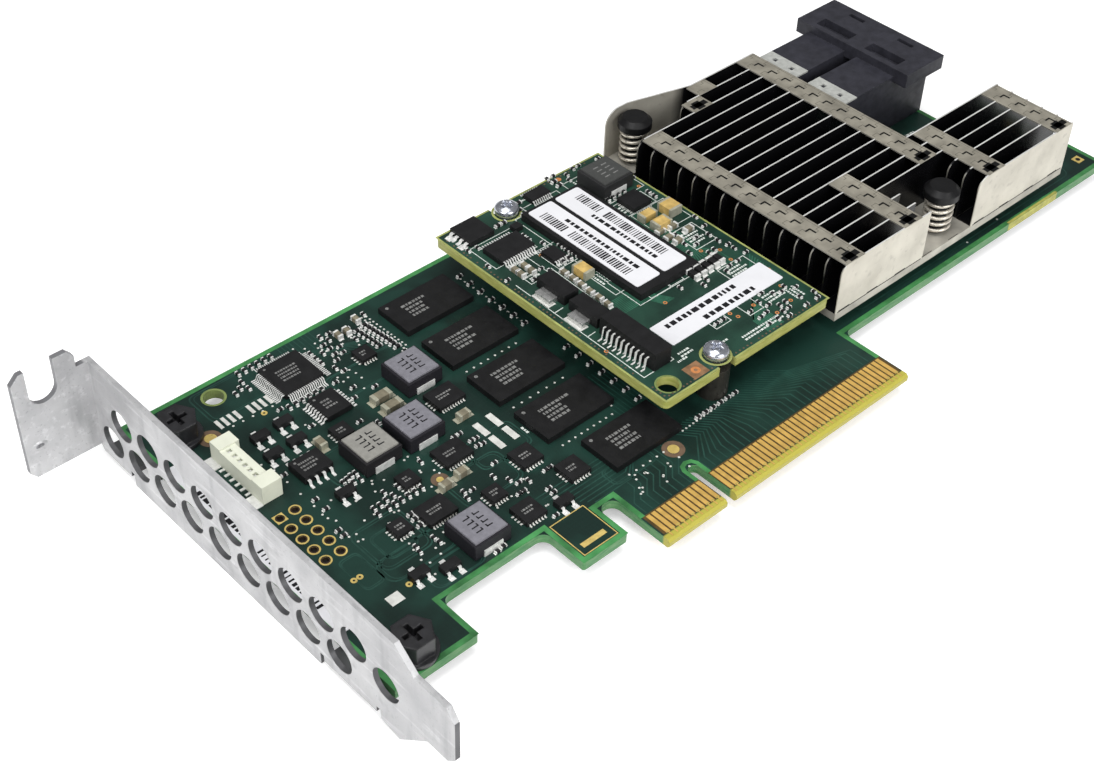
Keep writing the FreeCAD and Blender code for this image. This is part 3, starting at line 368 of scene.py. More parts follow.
# ---------------------------------------------------------------- finishes
class Web:
    """A node tree under construction."""

    def __init__(self, tree):
        self.tree = tree

    def add(self, kind, values=(), **settings):
        node = self.tree.nodes.new(kind)
        for key, value in settings.items():
            setattr(node, key, value)
        for key, value in dict(values).items():
            node.inputs[key].default_value = value
        return node

    def link(self, a, b):
        self.tree.links.new(a, b)

    def span(self, fac, low, high, to_low, to_high):
        node = self.add("ShaderNodeMapRange", {"From Min": low, "From Max": high, "To Min": to_low,
                                               "To Max": to_high})
        self.link(fac, node.inputs["Value"])
        return node.outputs["Result"]

    def math(self, kind, a, b=0.0):
        node = self.add("ShaderNodeMath", operation=kind)
        for socket, value in zip(node.inputs, (a, b)):
            if isinstance(value, (int, float)):
                socket.default_value = value
            else:
                self.link(value, socket)
        return node.outputs[0]


class Finish(Web):
    """A material under construction: its nodes, the shader and the pattern coordinates."""

    def __init__(self, name, colour, rough, metal=0.0, specular=0.5, coat=0.0):
        self.material = bpy.data.materials.new(name)
        self.material.use_nodes = True
        super().__init__(self.material.node_tree)
        self.shader = self.tree.nodes["Principled BSDF"]
        for key, value in (("Base Color", (*colour, 1)), ("Roughness", rough), ("Metallic", metal),
                           ("Specular IOR Level", specular), ("Coat Weight", coat)):
            self.shader.inputs[key].default_value = value
        self.colour = colour
        self.place = self.add("ShaderNodeTexCoord").outputs["Object"]

    def noise(self, scale, detail=3.0, stretch=None):
        """Cloudy noise with about scale blobs per metre."""
        node = self.add("ShaderNodeTexNoise", {"Scale": scale, "Detail": detail})
        source = self.place
        if stretch:
            mapping = self.add("ShaderNodeMapping", {"Scale": stretch})
            self.link(source, mapping.inputs["Vector"])
            source = mapping.outputs["Vector"]
        self.link(source, node.inputs["Vector"])
        return node.outputs["Fac"]

    def clouds(self, scale, detail, at, colours, stretch=None):
        """Noise as two colours, which are reached at two of its values."""
        node = self.add("ShaderNodeValToRGB")
        for element, position, colour in zip(node.color_ramp.elements, at, colours):
            element.position = position
            element.color = (*colour, 1)
        self.link(self.noise(scale, detail, stretch), node.inputs["Fac"])
        return node.outputs["Color"]

    def mix(self, fac, a, b):
        node = self.add("ShaderNodeMix", data_type="RGBA")
        self.link(fac, node.inputs["Factor"])
        for key, value in (("A", a), ("B", b)):
            socket = [s for s in node.inputs if s.name == key and s.type == "RGBA"][0]
            if isinstance(value, tuple):
                socket.default_value = (*value, 1)
            else:
                self.link(value, socket)
        return [s for s in node.outputs if s.type == "RGBA"][0]

    def axis(self, which, source=None):
        node = self.add("ShaderNodeSeparateXYZ")
        self.link(source or self.place, node.inputs["Vector"])
        return node.outputs[which]

    def past(self, which, low, high, to_low=0.0, to_high=1.0):
        """A step along an axis, between two places in millimetres."""
        return self.span(self.axis(which), low * MM, high * MM, to_low, to_high)

    def facing(self, which):
        """How far the surface faces along an axis, from -1 to 1."""
        return self.axis(which, self.add("ShaderNodeNewGeometry").outputs["Normal"])

    def away_from(self, which, low, high):
        """One where the surface faces neither way along an axis, and nothing where it does."""
        return self.span(self.math("ABSOLUTE", self.facing(which)), low, high, 1.0, 0.0)

    def paint(self, colour):
        self.link(colour, self.shader.inputs["Base Color"])
        return self

    def mottle(self, scale, amount):
        """Lighter and darker clouds of the finish's own colour."""
        low = tuple(c * (1 - amount) for c in self.colour)
        high = tuple(min(1.0, c * (1 + amount)) for c in self.colour)
        return self.paint(self.clouds(scale, 4.0, (0.3, 0.7), (low, high)))

    def gloss(self, scale, low, high):
        """Roughness that wanders between low and high."""
        self.link(self.span(self.noise(scale), 0.3, 0.7, low, high), self.shader.inputs["Roughness"])
        return self

    def grain(self, scale, depth, detail=2.0, edge=0.0):
        """Fine bumps of a given depth in millimetres, with edges rounded by a small radius."""
        bump = self.add("ShaderNodeBump", {"Distance": depth * MM, "Strength": 1.0})
        self.link(self.noise(scale, detail), bump.inputs["Height"])
        if edge:
            bevel = self.add("ShaderNodeBevel", {"Radius": edge * MM}, samples=4)
            self.link(bevel.outputs["Normal"], bump.inputs["Normal"])
        self.link(bump.outputs["Normal"], self.shader.inputs["Normal"])
        return self.material


def plain(name, colour, rough, cloud, grain, specular=0.3, metal=0.0, edge=0.0):
    """Clouds of one colour, as scale and amount, and a grain, as scale and depth."""
    return Finish(name, colour, rough, metal, specular).mottle(*cloud).grain(*grain, edge=edge)


def lacquer(name, colour, rough, cloud, depth=0.004, edge=0.0, specular=0.3):
    """A thin printed, painted or moulded layer, with the fine grain of the board."""
    return plain(name, colour, rough, cloud, (5000, depth), specular, edge=edge)


def chip_plastic(name, shade, rough=0.5, edge=0.06, blue=1.08):
    """Dark moulded plastic, a shade of grey with a little more or less blue."""
    f = Finish(name, (shade, shade, shade * blue), rough, specular=0.25)
    return f.mottle(600, 0.25).gloss(900, rough - 0.08, rough + 0.1).grain(9000, 0.004, edge=edge)


def soft_metal(name, colour, rough, metal=0.35, depth=0.0015, edge=0.04, scale=1500):
    """Bright plating that keeps its colour away from reflections."""
    f = Finish(name, colour, rough, metal=metal, specular=0.4)
    return f.mottle(scale, 0.12).gloss(scale, rough - 0.08, rough + 0.1).grain(scale * 2, depth, edge=edge)


def solder_mask(name, deep, light, edge_low, edge_high, bare=None):
    """Green lacquer over laminate: cloudy tops, bright laminate on the sides."""
    f = Finish(name, deep, 0.4, specular=0.22, coat=0.06)
    f.shader.inputs["Coat Roughness"].default_value = 0.2
    top = f.clouds(110, 3.0, (0.42, 0.56), (deep, light))
    weave = f.math("ADD", *[f.math("SINE", f.math("MULTIPLY", f.axis(way), 9000)) for way in "XY"])
    top = f.mix(f.span(weave, -2, 2, 0.0, 0.12), top, light)
    side = f.clouds(420, 3.0, (0.3, 0.7), (edge_low, edge_high), stretch=(1, 1, 6))
    colour = f.mix(f.away_from("Z", 0.4, 0.6), top, side)
    if bare:
        colour = f.mix(f.past("Y", 1.1, 1.4, 1.0, 0.0), colour, bare)
    return f.paint(colour).grain(5200, 0.01, detail=1.0, edge=0.12)


def coil_plastic(name, colour, rough, amount, depth, edge, dark, level, specular=0.25):
    """Pressed powder: its own colour on top, dark on the sides, split just under a level."""
    f = Finish(name, colour, rough, specular=specular).mottle(1400, amount)
    own = f.shader.inputs["Base Color"].links[0].from_socket
    split = f.past("Z", level - 0.32, level - 0.25, 1.0, 0.0)
    return f.paint(f.mix(split, own, dark)).grain(7000, depth, edge=edge)


def galvanised():
    """Dull zinc: broad soft spangle, scratches, streaks, specks and scuffs, with painted shade as dark
    rims on the tab and dark walls in the vents."""
    f = Finish("galvanised_steel", (0.56, 0.56, 0.56), 0.5, metal=0.4, specular=0.4)
    wear_and_shade = f.clouds(140, 6.0, (0.25, 0.75), ((0.37, 0.37, 0.38), (0.56, 0.56, 0.565)))
    for scale, detail, stretch, low, high, most, colour in (
            (900, 4.0, (1, 0.1, 1), 0.56, 0.72, 0.5, (0.76, 0.76, 0.77)),
            (420, 6.0, (1.0, 1.0, 0.18), 0.54, 0.70, 0.55, (0.30, 0.30, 0.31)),
            (2600, 3.0, None, 0.62, 0.72, 0.5, (0.24, 0.24, 0.25)),
            (330, 8.0, None, 0.62, 0.78, 0.6, (0.27, 0.27, 0.28))):
        wear_and_shade = f.mix(f.span(f.noise(scale, detail, stretch), low, high, 0.0, most), wear_and_shade, colour)
    # Painted shade: the tab's rim faces, which face neither way along Y, turn dark.
    rims = f.math("MULTIPLY", f.away_from("Y", 0.45, 0.7), f.past("X", -0.6, -0.3, 1.0, 0.0))
    wear_and_shade = f.mix(rims, wear_and_shade, (0.20, 0.20, 0.21))
    # Painted shade: the walls inside the vents turn near black.
    low_down = f.past("Z", VENT_TOP - 0.05, VENT_TOP + 0.05, 1.0, 0.0)
    inner = f.math("MULTIPLY", f.past("X", 0.05, 0.1), low_down)
    f.paint(f.mix(f.math("MULTIPLY", f.away_from("X", 0.45, 0.7), inner), wear_and_shade, (0.10, 0.10, 0.105)))
    return f.gloss(260, 0.34, 0.55).grain(700, 0.012, detail=5.0, edge=0.12)


def sink_finish():
    """Plated sheets with painted light: warm and bright outside and on the top strips where lit, lighter
    still where they face up (a painted highlight), and near black in the gaps (painted shade).
    """
    low, high = box("heatsink_fins")
    f = Finish("sink_sheets", (0.62, 0.58, 0.5), 0.5, metal=0.35, specular=0.35)
    bright = f.clouds(210, 6.0, (0.28, 0.72), ((0.46, 0.435, 0.37), (0.62, 0.59, 0.51)))
    strip = f.clouds(330, 6.0, (0.28, 0.72), ((0.62, 0.62, 0.60), (0.82, 0.82, 0.80)))
    # Painted highlight: faces that look up take the lighter strip colour.
    bright = f.mix(f.span(f.facing("Z"), 0.5, 0.9, 0.0, 1.0), bright, strip)
    bright = f.mix(f.span(f.noise(900, 5.0), 0.6, 0.75, 0.0, 0.35), bright, (0.24, 0.22, 0.19))
    # Painted light: the curl that faces -X is partly lit near the top.
    curl = f.math("MULTIPLY", f.span(f.facing("X"), -0.8, -0.6, 1.0, 0.0),
                  f.past("Z", high[2] - 4.0, high[2] - 0.8, 0.0, 0.5))
    # The lit places: the front sheet, the top edges, a band at the back and the curl.
    lit = f.past("Y", low[1] + 0.12, low[1] + 0.16, 1.0, 0.0)
    for part in (f.past("Z", high[2] - 0.06, high[2] - 0.02),
                 f.past("Y", high[1] - 3.2, high[1] - 2.6, 0.0, 0.7), curl):
        lit = f.math("MAXIMUM", lit, part)
    # Painted shade: near black wherever the sheets are not lit.
    f.paint(f.mix(lit, (0.006, 0.006, 0.007), bright))
    f.link(f.span(lit, 0, 1, 0.25, 0.42), f.shader.inputs["Roughness"])
    return f.grain(1200, 0.008, detail=4.0, edge=0.04)


MASK = solder_mask("main_mask", (0.0065, 0.019, 0.015), (0.010, 0.036, 0.027), (0.035, 0.17, 0.055),
                   (0.12, 0.26, 0.11), bare=(0.40, 0.36, 0.06))
DECK_MASK = solder_mask("module_mask", (0.010, 0.030, 0.021), (0.018, 0.056, 0.038), (0.30, 0.32, 0.08),
                        (0.44, 0.44, 0.15))
BORDER = lacquer("board_border", (0.05, 0.205, 0.065), 0.35, (260, 0.45), 0.006)
DECK_BORDER = lacquer("module_border", (0.30, 0.33, 0.11), 0.4, (500, 0.25), 0.006)
TRACK = lacquer("covered_track", (0.014, 0.050, 0.038), 0.4, (500, 0.3))
DECK_TRACK = lacquer("module_track", (0.028, 0.115, 0.07), 0.4, (500, 0.3))
RAW = lacquer("raw_laminate", (0.38, 0.37, 0.09), 0.5, (900, 0.25), 0.006)
BED = lacquer("contact_bed", (0.085, 0.050, 0.014), 0.5, (900, 0.3))
RING = lacquer("brown_ring", (0.13, 0.085, 0.055), 0.5, (900, 0.2))
PALE_RING = lacquer("bare_ring", (0.17, 0.22, 0.07), 0.45, (900, 0.2))
PATCH = lacquer("copper_under_mask", (0.24, 0.13, 0.065), 0.5, (900, 0.3))
# Near black: painted shade in gaps and openings, and a painted shadow.
GAP_SHADE = lacquer("painted_gap_shade", (0.008, 0.008, 0.008), 0.7, (900, 0.3), 0.003, specular=0.1)
CREAM = lacquer("cream_plastic", (0.74, 0.76, 0.63), 0.5, (300, 0.06), 0.006, edge=0.12)
CERAMIC_TAN = lacquer("tan_ceramic", (0.52, 0.36, 0.12), 0.45, (900, 0.25), edge=0.1)
CERAMIC_BROWN = lacquer("olive_ceramic", (0.19, 0.17, 0.12), 0.45, (900, 0.25), edge=0.06)
RESISTOR = lacquer("resistor_black", (0.014, 0.014, 0.015), 0.45, (2000, 0.3), 0.003)
LABEL = plain("label_paper", (0.71, 0.71, 0.735), 0.5, (200, 0.04), (4000, 0.003))
# Ink for print, and painted shade in small holes.
INK_AND_HOLE_SHADE = plain("ink_and_hole_shade", (0.010, 0.010, 0.012), 0.6, (2000, 0.3), (4000, 0.002), 0.2)
SILK = plain("screen_print", (0.62, 0.66, 0.62), 0.55, (2500, 0.2), (6000, 0.003))
MARK = plain("laser_mark", (0.17, 0.17, 0.165), 0.6, (3000, 0.45), (6000, 0.003), 0.2)
BLACK_SCREW = plain("black_oxide", (0.014, 0.014, 0.016), 0.34, (900, 0.4), (900, 0.02), 0.6, edge=0.35)
# Painted shade inside the plated holes.
BARREL_SHADE = plain("barrel_painted_shade", (0.030, 0.016, 0.008), 0.35, (900, 0.5), (3000, 0.004), 0.5)
FILLER = plain("thermal_filler", (0.5, 0.5, 0.48), 0.7, (600, 0.1), (3000, 0.01), 0.5)
# Painted shade for the core of the tab's dimple.
DIMPLE_SHADE = plain("dimple_painted_shade", (0.20, 0.20, 0.21), 0.5, (1500, 0.5), (3000, 0.006), 0.5, metal=0.3)
SEAM = plain("strip_seam", (0.075, 0.068, 0.052), 0.6, (900, 0.3), (3000, 0.003), 0.5)
GOLD = soft_metal("gold_plate", (0.66, 0.50, 0.16), 0.35)
CONTACT_GOLD = soft_metal("contact_gold", (0.72, 0.455, 0.12), 0.38, metal=0.45, scale=700)
COPPER = soft_metal("bare_copper", (0.66, 0.26, 0.09), 0.4)
TIN = soft_metal("tinned", (0.78, 0.78, 0.76), 0.36)
TIN_WARM = soft_metal("capacitor_end", (0.42, 0.41, 0.32), 0.4)
SOLDER = soft_metal("solder_pad", (0.74, 0.74, 0.70), 0.4, scale=700)
CHROME = soft_metal("bright_screw", (0.50, 0.52, 0.58), 0.22, metal=0.9, depth=0.001, edge=0.25)
# Near black: painted shade on the standoffs under the module board.
STANDOFF_SHADE = soft_metal("standoff", (0.055, 0.052, 0.045), 0.35, metal=0.6)
TAB_METAL = soft_metal("tab_metal", (0.62, 0.62, 0.61), 0.25, metal=0.85, edge=0.3)
SPRING = soft_metal("spring_wire", (0.62, 0.58, 0.50), 0.3, metal=0.6)
CLIP = soft_metal("socket_clip", (0.54, 0.55, 0.52), 0.4)
CHIP = chip_plastic("chip_plastic", 0.0085)
CHIP_GREY = chip_plastic("memory_plastic", 0.0070)
SMALL_CHIP = chip_plastic("small_chip_plastic", 0.009)
SOCKET = chip_plastic("socket_plastic", 0.028, 0.45, edge=0.15, blue=1.3)
PIN_PLASTIC = chip_plastic("push_pin_plastic", 0.0055, 0.4, edge=0.2)
COIL_LEVEL = box("coil_a_body")[1][2]
COIL_TOP = coil_plastic("coil_top", (0.18, 0.177, 0.20), 0.6, 0.12, 0.008, 0.25, (0.014, 0.013, 0.017),
                        COIL_LEVEL)
TAUPE_TOP = coil_plastic("taupe_coil_top", (0.245, 0.24, 0.22), 0.6, 0.1, 0.008, 0.25, (0.014, 0.013, 0.015),
                         COIL_LEVEL)
DECK_COIL = coil_plastic("module_coil_top", (0.045, 0.047, 0.045), 0.55, 0.12, 0.01, 0.2,
                         (0.014, 0.014, 0.015), box("module_coil_body")[1][2], specular=0.5)
ZINC = galvanised()
SHEETS = sink_finish()
STRIP = Finish("strip_top", (0.30, 0.28, 0.23), 0.5, 0.3, 0.35).mottle(330, 0.28).gloss(500, 0.35, 0.6).grain(
    1200, 0.008, detail=4.0)
SINK_BASE = Finish("sink_base", (0.42, 0.40, 0.35), 0.5, 0.4).mottle(300, 0.25).gloss(500, 0.4, 0.6).grain(
    1500, 0.008, edge=0.1)

DRESS = {
    MASK: "main_board", DECK_MASK: "module_board", CONTACT_GOLD: "edge_contacts", ZINC: "bracket",
    GOLD: "header_rings gold_pads", BLACK_SCREW: "bracket_screws", CHROME: "module_screws",
    STANDOFF_SHADE: "module_standoffs", SINK_BASE: "heatsink_base", SHEETS: "heatsink_fins",
    PIN_PLASTIC: "push_pins", SPRING: "push_pin_springs", FILLER: "thermal_pad",
    SOCKET: "cable_socket_housing cable_socket_wafers", CLIP: "cable_socket_clips",
    CHIP: "controller_chip module_lower_connector module_upper_connector module_side_socket"
          " module_flash_package quad_flat_chip module_power_packages",
    CHIP_GREY: " ".join(MEMORY_CHIPS),
    SMALL_CHIP: "module_chips two_row_chip eight_lead_chip small_transistors power_stage_chips"
                " regulator_chips small_flat_chips",
    TAB_METAL: "module_power_tabs",
    TIN: "module_socket_leads module_coil_ends coil_end_plates quad_flat_leads two_row_leads"
         " eight_lead_chip_leads small_transistor_leads wire_connector_pins wire_connector_anchors",
    SOLDER: "solder_pads", LABEL: "module_bar_labels module_long_label board_label",
    COIL_TOP: "coil_a_body coil_b_body coil_d_body", TAUPE_TOP: "coil_c_body",
    DECK_COIL: "module_coil_body", CREAM: "wire_connector_housing",
    CERAMIC_TAN: "module_capacitors", CERAMIC_BROWN: "board_capacitors", RESISTOR: "chip_resistors",
}
for material, nodes in DRESS.items():
    for node in nodes.split():
        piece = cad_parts[node]
        if not piece.material_slots:
            piece.data.materials.append(material)
        for place in piece.material_slots:
            place.material = material


# ---------------------------------------------------------------- studio
def studio():
    """Pale floor, soft lamps and the camera. The floor glows a little where it is seen directly
    or in a gloss, and the world is brighter there than as a light."""
    size, floor_z = 3.0, cad_low[2] - 0.0001
    data = bpy.data.meshes.new("studio_floor")
    data.from_pydata([(size * x, size * y, floor_z) for x, y in SIGNS], [], [(0, 1, 2, 3)])
    floor = bpy.data.objects.new("studio_floor", data)
    bpy.context.scene.collection.objects.link(floor)
    paper = bpy.data.materials.new("studio_paper")
    paper.use_nodes = True
    paper.node_tree.nodes.clear()
    web = Web(paper.node_tree)
    rays = web.add("ShaderNodeLightPath").outputs
    seen = web.math("MAXIMUM", rays["Is Camera Ray"], rays["Is Glossy Ray"])
    matt = web.add("ShaderNodeBsdfDiffuse", {"Color": (0.8, 0.8, 0.8, 1)})
    glow = web.add("ShaderNodeEmission", {"Color": (1, 1, 1, 1)})
    both = web.add("ShaderNodeAddShader")
    web.link(web.math("MULTIPLY", seen, 0.4), glow.inputs["Strength"])
    web.link(matt.outputs[0], both.inputs[0])
    web.link(glow.outputs[0], both.inputs[1])
    web.link(both.outputs[0], web.add("ShaderNodeOutputMaterial").inputs["Surface"])
    data.materials.append(paper)

    world = bpy.data.worlds.new("studio_world")
    bpy.context.scene.world = world
    world.use_nodes = True
    back = world.node_tree.nodes["Background"]
    back.inputs["Color"].default_value = (1, 1, 1, 1)
    sky = Web(world.node_tree)
    rays = sky.add("ShaderNodeLightPath").outputs
    sky.link(sky.span(rays["Is Camera Ray"], 0, 1, 0.25, 1.0), back.inputs["Strength"])

    mid = Vector((0.085, 0.034, 0.0))
    for name, place, power, wide in (("key_lamp", (-0.45, -0.10, 0.40), 2.3, 0.4),
                                     ("top_lamp", (-0.05, 0.05, 0.75), 3.5, 0.5),
                                     ("front_lamp", (0.05, -0.55, 0.35), 2.9, 0.4)):
        light = bpy.data.lights.new(name, "AREA")
        light.energy, light.size = power, wide
        holder = bpy.data.objects.new(name, light)
        holder.location = place
        holder.rotation_euler = (mid - Vector(place)).to_track_quat("-Z", "Y").to_euler()
        bpy.context.scene.collection.objects.link(holder)

    camera = bpy.data.cameras.new("camera")
    camera.sensor_width, camera.lens = 36.0, 58.34
    camera.clip_start, camera.clip_end = 0.01, 20.0
    holder = bpy.data.objects.new("camera", camera)
    holder.location = (-0.08151, -0.10756, 0.18080)
    holder.rotation_euler = Euler([math.radians(a) for a in (47.773, -1.407, -42.781)], "XYZ")
    bpy.context.scene.collection.objects.link(holder)
    bpy.context.scene.camera = holder
    bpy.context.scene.view_settings.view_transform = "Standard"


studio()


# ---------------------------------------------------------------- the main board
def board_art():
    """The main board: bright rim, pads, faint covered tracks, plated through spots and rings, and painted
    shade in the holes.
    """
    z = BOARD_TOP
    left, right, top = BOARD_LOW[0], BOARD_HIGH[0], BOARD_HIGH[1]
    rim = [(99.3, 5.7), (99.3, 12.9), (right, 12.9), (right, 35.0), (right - 11.6, 35.0), (right - 11.6, top),
           (left, top), (left, 5.1), (16.7, 5.1), (16.7, 12.9), (35.4, 12.9), (35.4, 4.9), (43.9, 4.9),
           (43.9, 11.2), (47.1, 11.2), (47.1, 5.7)]
    pour("board_border", ribbon(rim, 0.85, z + RIM_UP, inside=True), BORDER)
    fingers = solids("edge_contacts")[:, :, 0]
    key = np.argmax(np.diff(fingers[:, 0]))
    key_x = (fingers[key, 1] + fingers[key + 1, 0]) / 2
    loop = [(1.3, 5.7), (1.3, 8.2), (0.9, 9.0), (0.0, 9.3), (-0.9, 9.0), (-1.3, 8.2), (-1.3, 5.7)]
    pour("key_border", ribbon([(key_x + x, y) for x, y in loop], 0.7, z + RIM_UP), BORDER)

    fan = []
    for i, x in enumerate(np.linspace(61.5, 97.0, 30)):
        lane = 62.0 + 0.72 * i
        fan.append(ribbon([(x, 6.0), (x, 8.2 + 0.05 * i), (lane + 3, 12.0 + 0.03 * i), (lane, 15.5)],
                          0.22, z + TRACK_UP))
    for i, x in enumerate(np.linspace(48.5, 57.5, 8)):
        fan.append(ribbon([(x, 6.0), (x, 8.4), (x + 2.2, 10.6), (x + 2.2, 12.0 + 0.4 * i)],
                          0.2, z + TRACK_UP))
    for d in 0.75 * np.arange(9):
        fan.append(ribbon([(44.5 - d, 12.2 + d), (52.0, 12.2 + d), (59.8 + d, 20.0), (59.8 + d, 32.0)],
                          0.2, z + TRACK_UP))
        fan.append(ribbon([(30.5 + d, 68.0), (30.5 + d, 66.4 - d / 2), (38.0 + d, 60.0), (46.0, 60.0)],
                          0.18, z + TRACK_UP))
    pour("covered_tracks", join(*fan), TRACK)
    areas = (
        ((13.6, 19.0), (26.0, 23.6), 2.0), ((14.4, 21.2), (23.0, 30.0), 1.6),
        ((19.5, 37.5), (31.0, 45.0), 2.2), ((31.0, 52.0), (46.0, 57.5), 1.8),
        ((37.0, 27.0), (46.5, 33.0), 1.2), ((30.5, 22.6), (41.0, 29.6), 1.6),
        ((49.0, 12.5), (57.5, 16.0), 1.2), ((13.8, 60.6), (25.5, 67.6), 1.2),
        ((16.2, 22.6), (21.4, 27.8), 1.2), ((17.6, 14.2), (26.4, 18.4), 1.5),
        ((105.0, 14.8), (163.0, 33.0), 2.0), ((10.4, 20.4), (13.6, 27.0), 0.9))
    edges = []
    for low, high, r in areas:
        path = round_corners(rectangle(low, high), r, 6)
        edges.append(ribbon(path, 0.26, z + AREA_UP, closed=True))
        edges.append(ribbon(path + (np.mean(path, 0) - path) * 0.1, 0.16, z + AREA_UP, closed=True))
    pour("copper_area_rims", join(*edges), TRACK)

    spots = [(34.6, 58.0), (34.9, 57.0), (33.5, 56.7), (35.9, 56.9), (36.2, 55.7), (36.2, 54.3), (34.7, 55.7),
             (35.0, 52.2), (33.6, 55.4), (36.7, 65.2), (36.9, 64.2), (35.7, 65.2), (35.4, 64.0), (23.7, 36.2),
             (25.1, 35.2), (30.0, 32.9), (31.7, 32.0), (19.3, 20.0), (20.0, 23.4), (23.6, 20.3), (33.6, 25.7),
             (20.3, 28.2), (23.6, 51.6), (24.7, 50.7), (30.6, 36.6), (31.6, 35.5), (29.8, 36.4), (13.9, 49.1),
             (55.6, 9.6), (54.2, 11.4), (51.0, 9.2), (57.8, 10.9)]
    lines = [row(*line) for line in (
        ((45.6, 65.9), (46.0, 55.8), 13), ((44.9, 65.3), (45.3, 55.4), 13), ((15.6, 58.3), (22.4, 58.0), 5),
        ((62.9, 62.5), (63.3, 47.3), 16), ((60.0, 33.0), (60.2, 25.0), 10), ((49.0, 23.6), (59.0, 23.6), 9),
        ((49.0, 34.3), (59.0, 34.3), 7), ((49.0, 44.9), (59.0, 44.9), 8), ((26.0, 47.4), (33.0, 36.8), 4),
        ((14.6, 34.5), (14.6, 47.0), 5), ((52.0, 12.9), (59.0, 12.9), 6), ((64.3, 14.2), (71.3, 14.4), 10))]
    loose = [rng.uniform(low, high, (count, 2)) for low, high, count in (
        ((30, 58), (46, 67), 16), ((14, 28), (33, 37), 26), ((18, 16), (46, 23), 22),
        ((100, 14), (160, 30), 26), ((135, 33), (156, 43), 20), ((50, 8), (60, 13), 12))]
    pour("plated_spots", dots(np.concatenate([spots] + lines + loose), 0.19, z + PRINT_UP, 8), SOLDER)
    ring_spots = [(15.3, 17.7), (11.2, 23.1), (10.2, 23.1), (20.6, 57.6)]
    pour("gold_spots", dots(ring_spots, 0.5, z + 0.025, 12), GOLD)
    # Painted shade: a near-black dot in each gold spot's hole.
    pour("gold_spot_holes", dots(ring_spots, 0.18, z + PAD_UP, 8), INK_AND_HOLE_SHADE)

    near, mark, round_pad, far = solids("gold_pads").mean(1)[:, :2]
    pour("brown_rings", join(*[rings(pad, outer, inner, z + RING_UP, 24) for pad, outer, inner in (
        (near, 1.75, 0.95), (mark, 1.35, 0.5), (round_pad, 1.75, 0.95))]), RING)
    pour("wide_gold_pads", dots(near, 0.95, z + 0.055, 20), GOLD)
    # Painted shade: a near-black dot in the far pad's hole.
    pour("far_pad_hole", dots(far, 0.45, z + CAP_UP, 12), INK_AND_HOLE_SHADE)
    hole_r, barrel_r = 1.585, 0.49
    pour("free_hole_ring", join(rings(FREE_HOLE, 1.95, hole_r, z + RING_UP, 28),
                                lining(FREE_HOLE, hole_r, 28)), PALE_RING)
    # Painted shade: the plated barrels of the header holes, and a ring at the top of each, are dark brown.
    header = solids("header_rings").mean(1)[:, :2]
    pour("header_barrels", join(rings(header, 0.71, barrel_r, z + CAP_UP, 16), lining(header, barrel_r, 16)),
         BARREL_SHADE)
    hook = rectangle((36.5, 5.9), (42.8, 12.9))
    pour("hook_frame", join(ribbon(hook, 0.16, z + PRINT_UP, closed=True),
                            patches((39.6, 7.4), (4.4, 0.9), z + PRINT_UP)), GOLD)
    start, end = 142.5, 156.4
    middle, long = (start + end) / 2, end - start
    pour("raw_edge", join(patches((middle, BOARD_LOW[1] + 13.15), (long, 0.5), z + PRINT_UP),
                          on_front(patches((middle, 0.78), (long, 1.5), 0), 12.89)), RAW)


def tongue_art():
    """The contacts: thin tie bars, bare laminate at their tips and a dark bed."""
    fingers = solids("edge_contacts")
    top = fingers[fingers[:, 0, 2] > BOARD_TOP - 0.1]
    x, foot, z = top.mean(1)[:, 0], top[0, 0, 1], BOARD_TOP
    pour("contact_ties", patches(pairs(x, foot - 0.42), (0.24, 0.85), z + PAD_UP), CONTACT_GOLD)
    pour("contact_tips", patches(pairs(x, foot + 0.16), (0.62, 0.1), z + 0.052), RAW)
    split = np.argmax(np.diff(x))
    bands = np.array([(x[0] - 0.85, x[split] + 0.5), (x[split + 1] - 0.5, x[-1] + 0.85)])
    beds = patches(pairs(bands.mean(1), foot + 2.2), pairs(bands[:, 1] - bands[:, 0], 4.3), z + 0.006)
    pour("contact_bed", beds, BED)


def cap_ends(node, share, reach, z, pads=False):
    """Metal ends of the capacitors in a node: each takes a share of the long side and stands a
    reach of it from the middle, with a pad under it where the pads show."""
    made = []
    for low, high in solids(node):
        size = high - low
        axis = int(size[1] > size[0])
        end, pad = size.copy(), size[:2] * 1.05
        end[axis] *= share
        pad[axis] = 0.6
        for side in (-1, 1):
            at, foot = (low + high)[:2] / 2, (low + high)[:2] / 2
            at[axis] += side * size[axis] * reach
            foot[axis] += side * (size[axis] / 2 + 0.3)
            made.append(blocks(at, end + 0.04, z, 0.06))
            if pads:
                made.append(patches(foot, pad, z + PAD_UP))
    return join(*made)


BIG_PARTS = MEMORY_CHIPS + """coil_a_body coil_b_body coil_c_body coil_d_body quad_flat_chip two_row_chip
    eight_lead_chip small_transistors power_stage_chips regulator_chips small_flat_chips board_capacitors
    wire_connector_housing header_rings gold_pads solder_pads bracket_screws""".split()
FLAT_CHIPS = {"power_stage_chips": (9, 0.5), "regulator_chips": (6, 0.55), "small_flat_chips": (5, 0.5)}


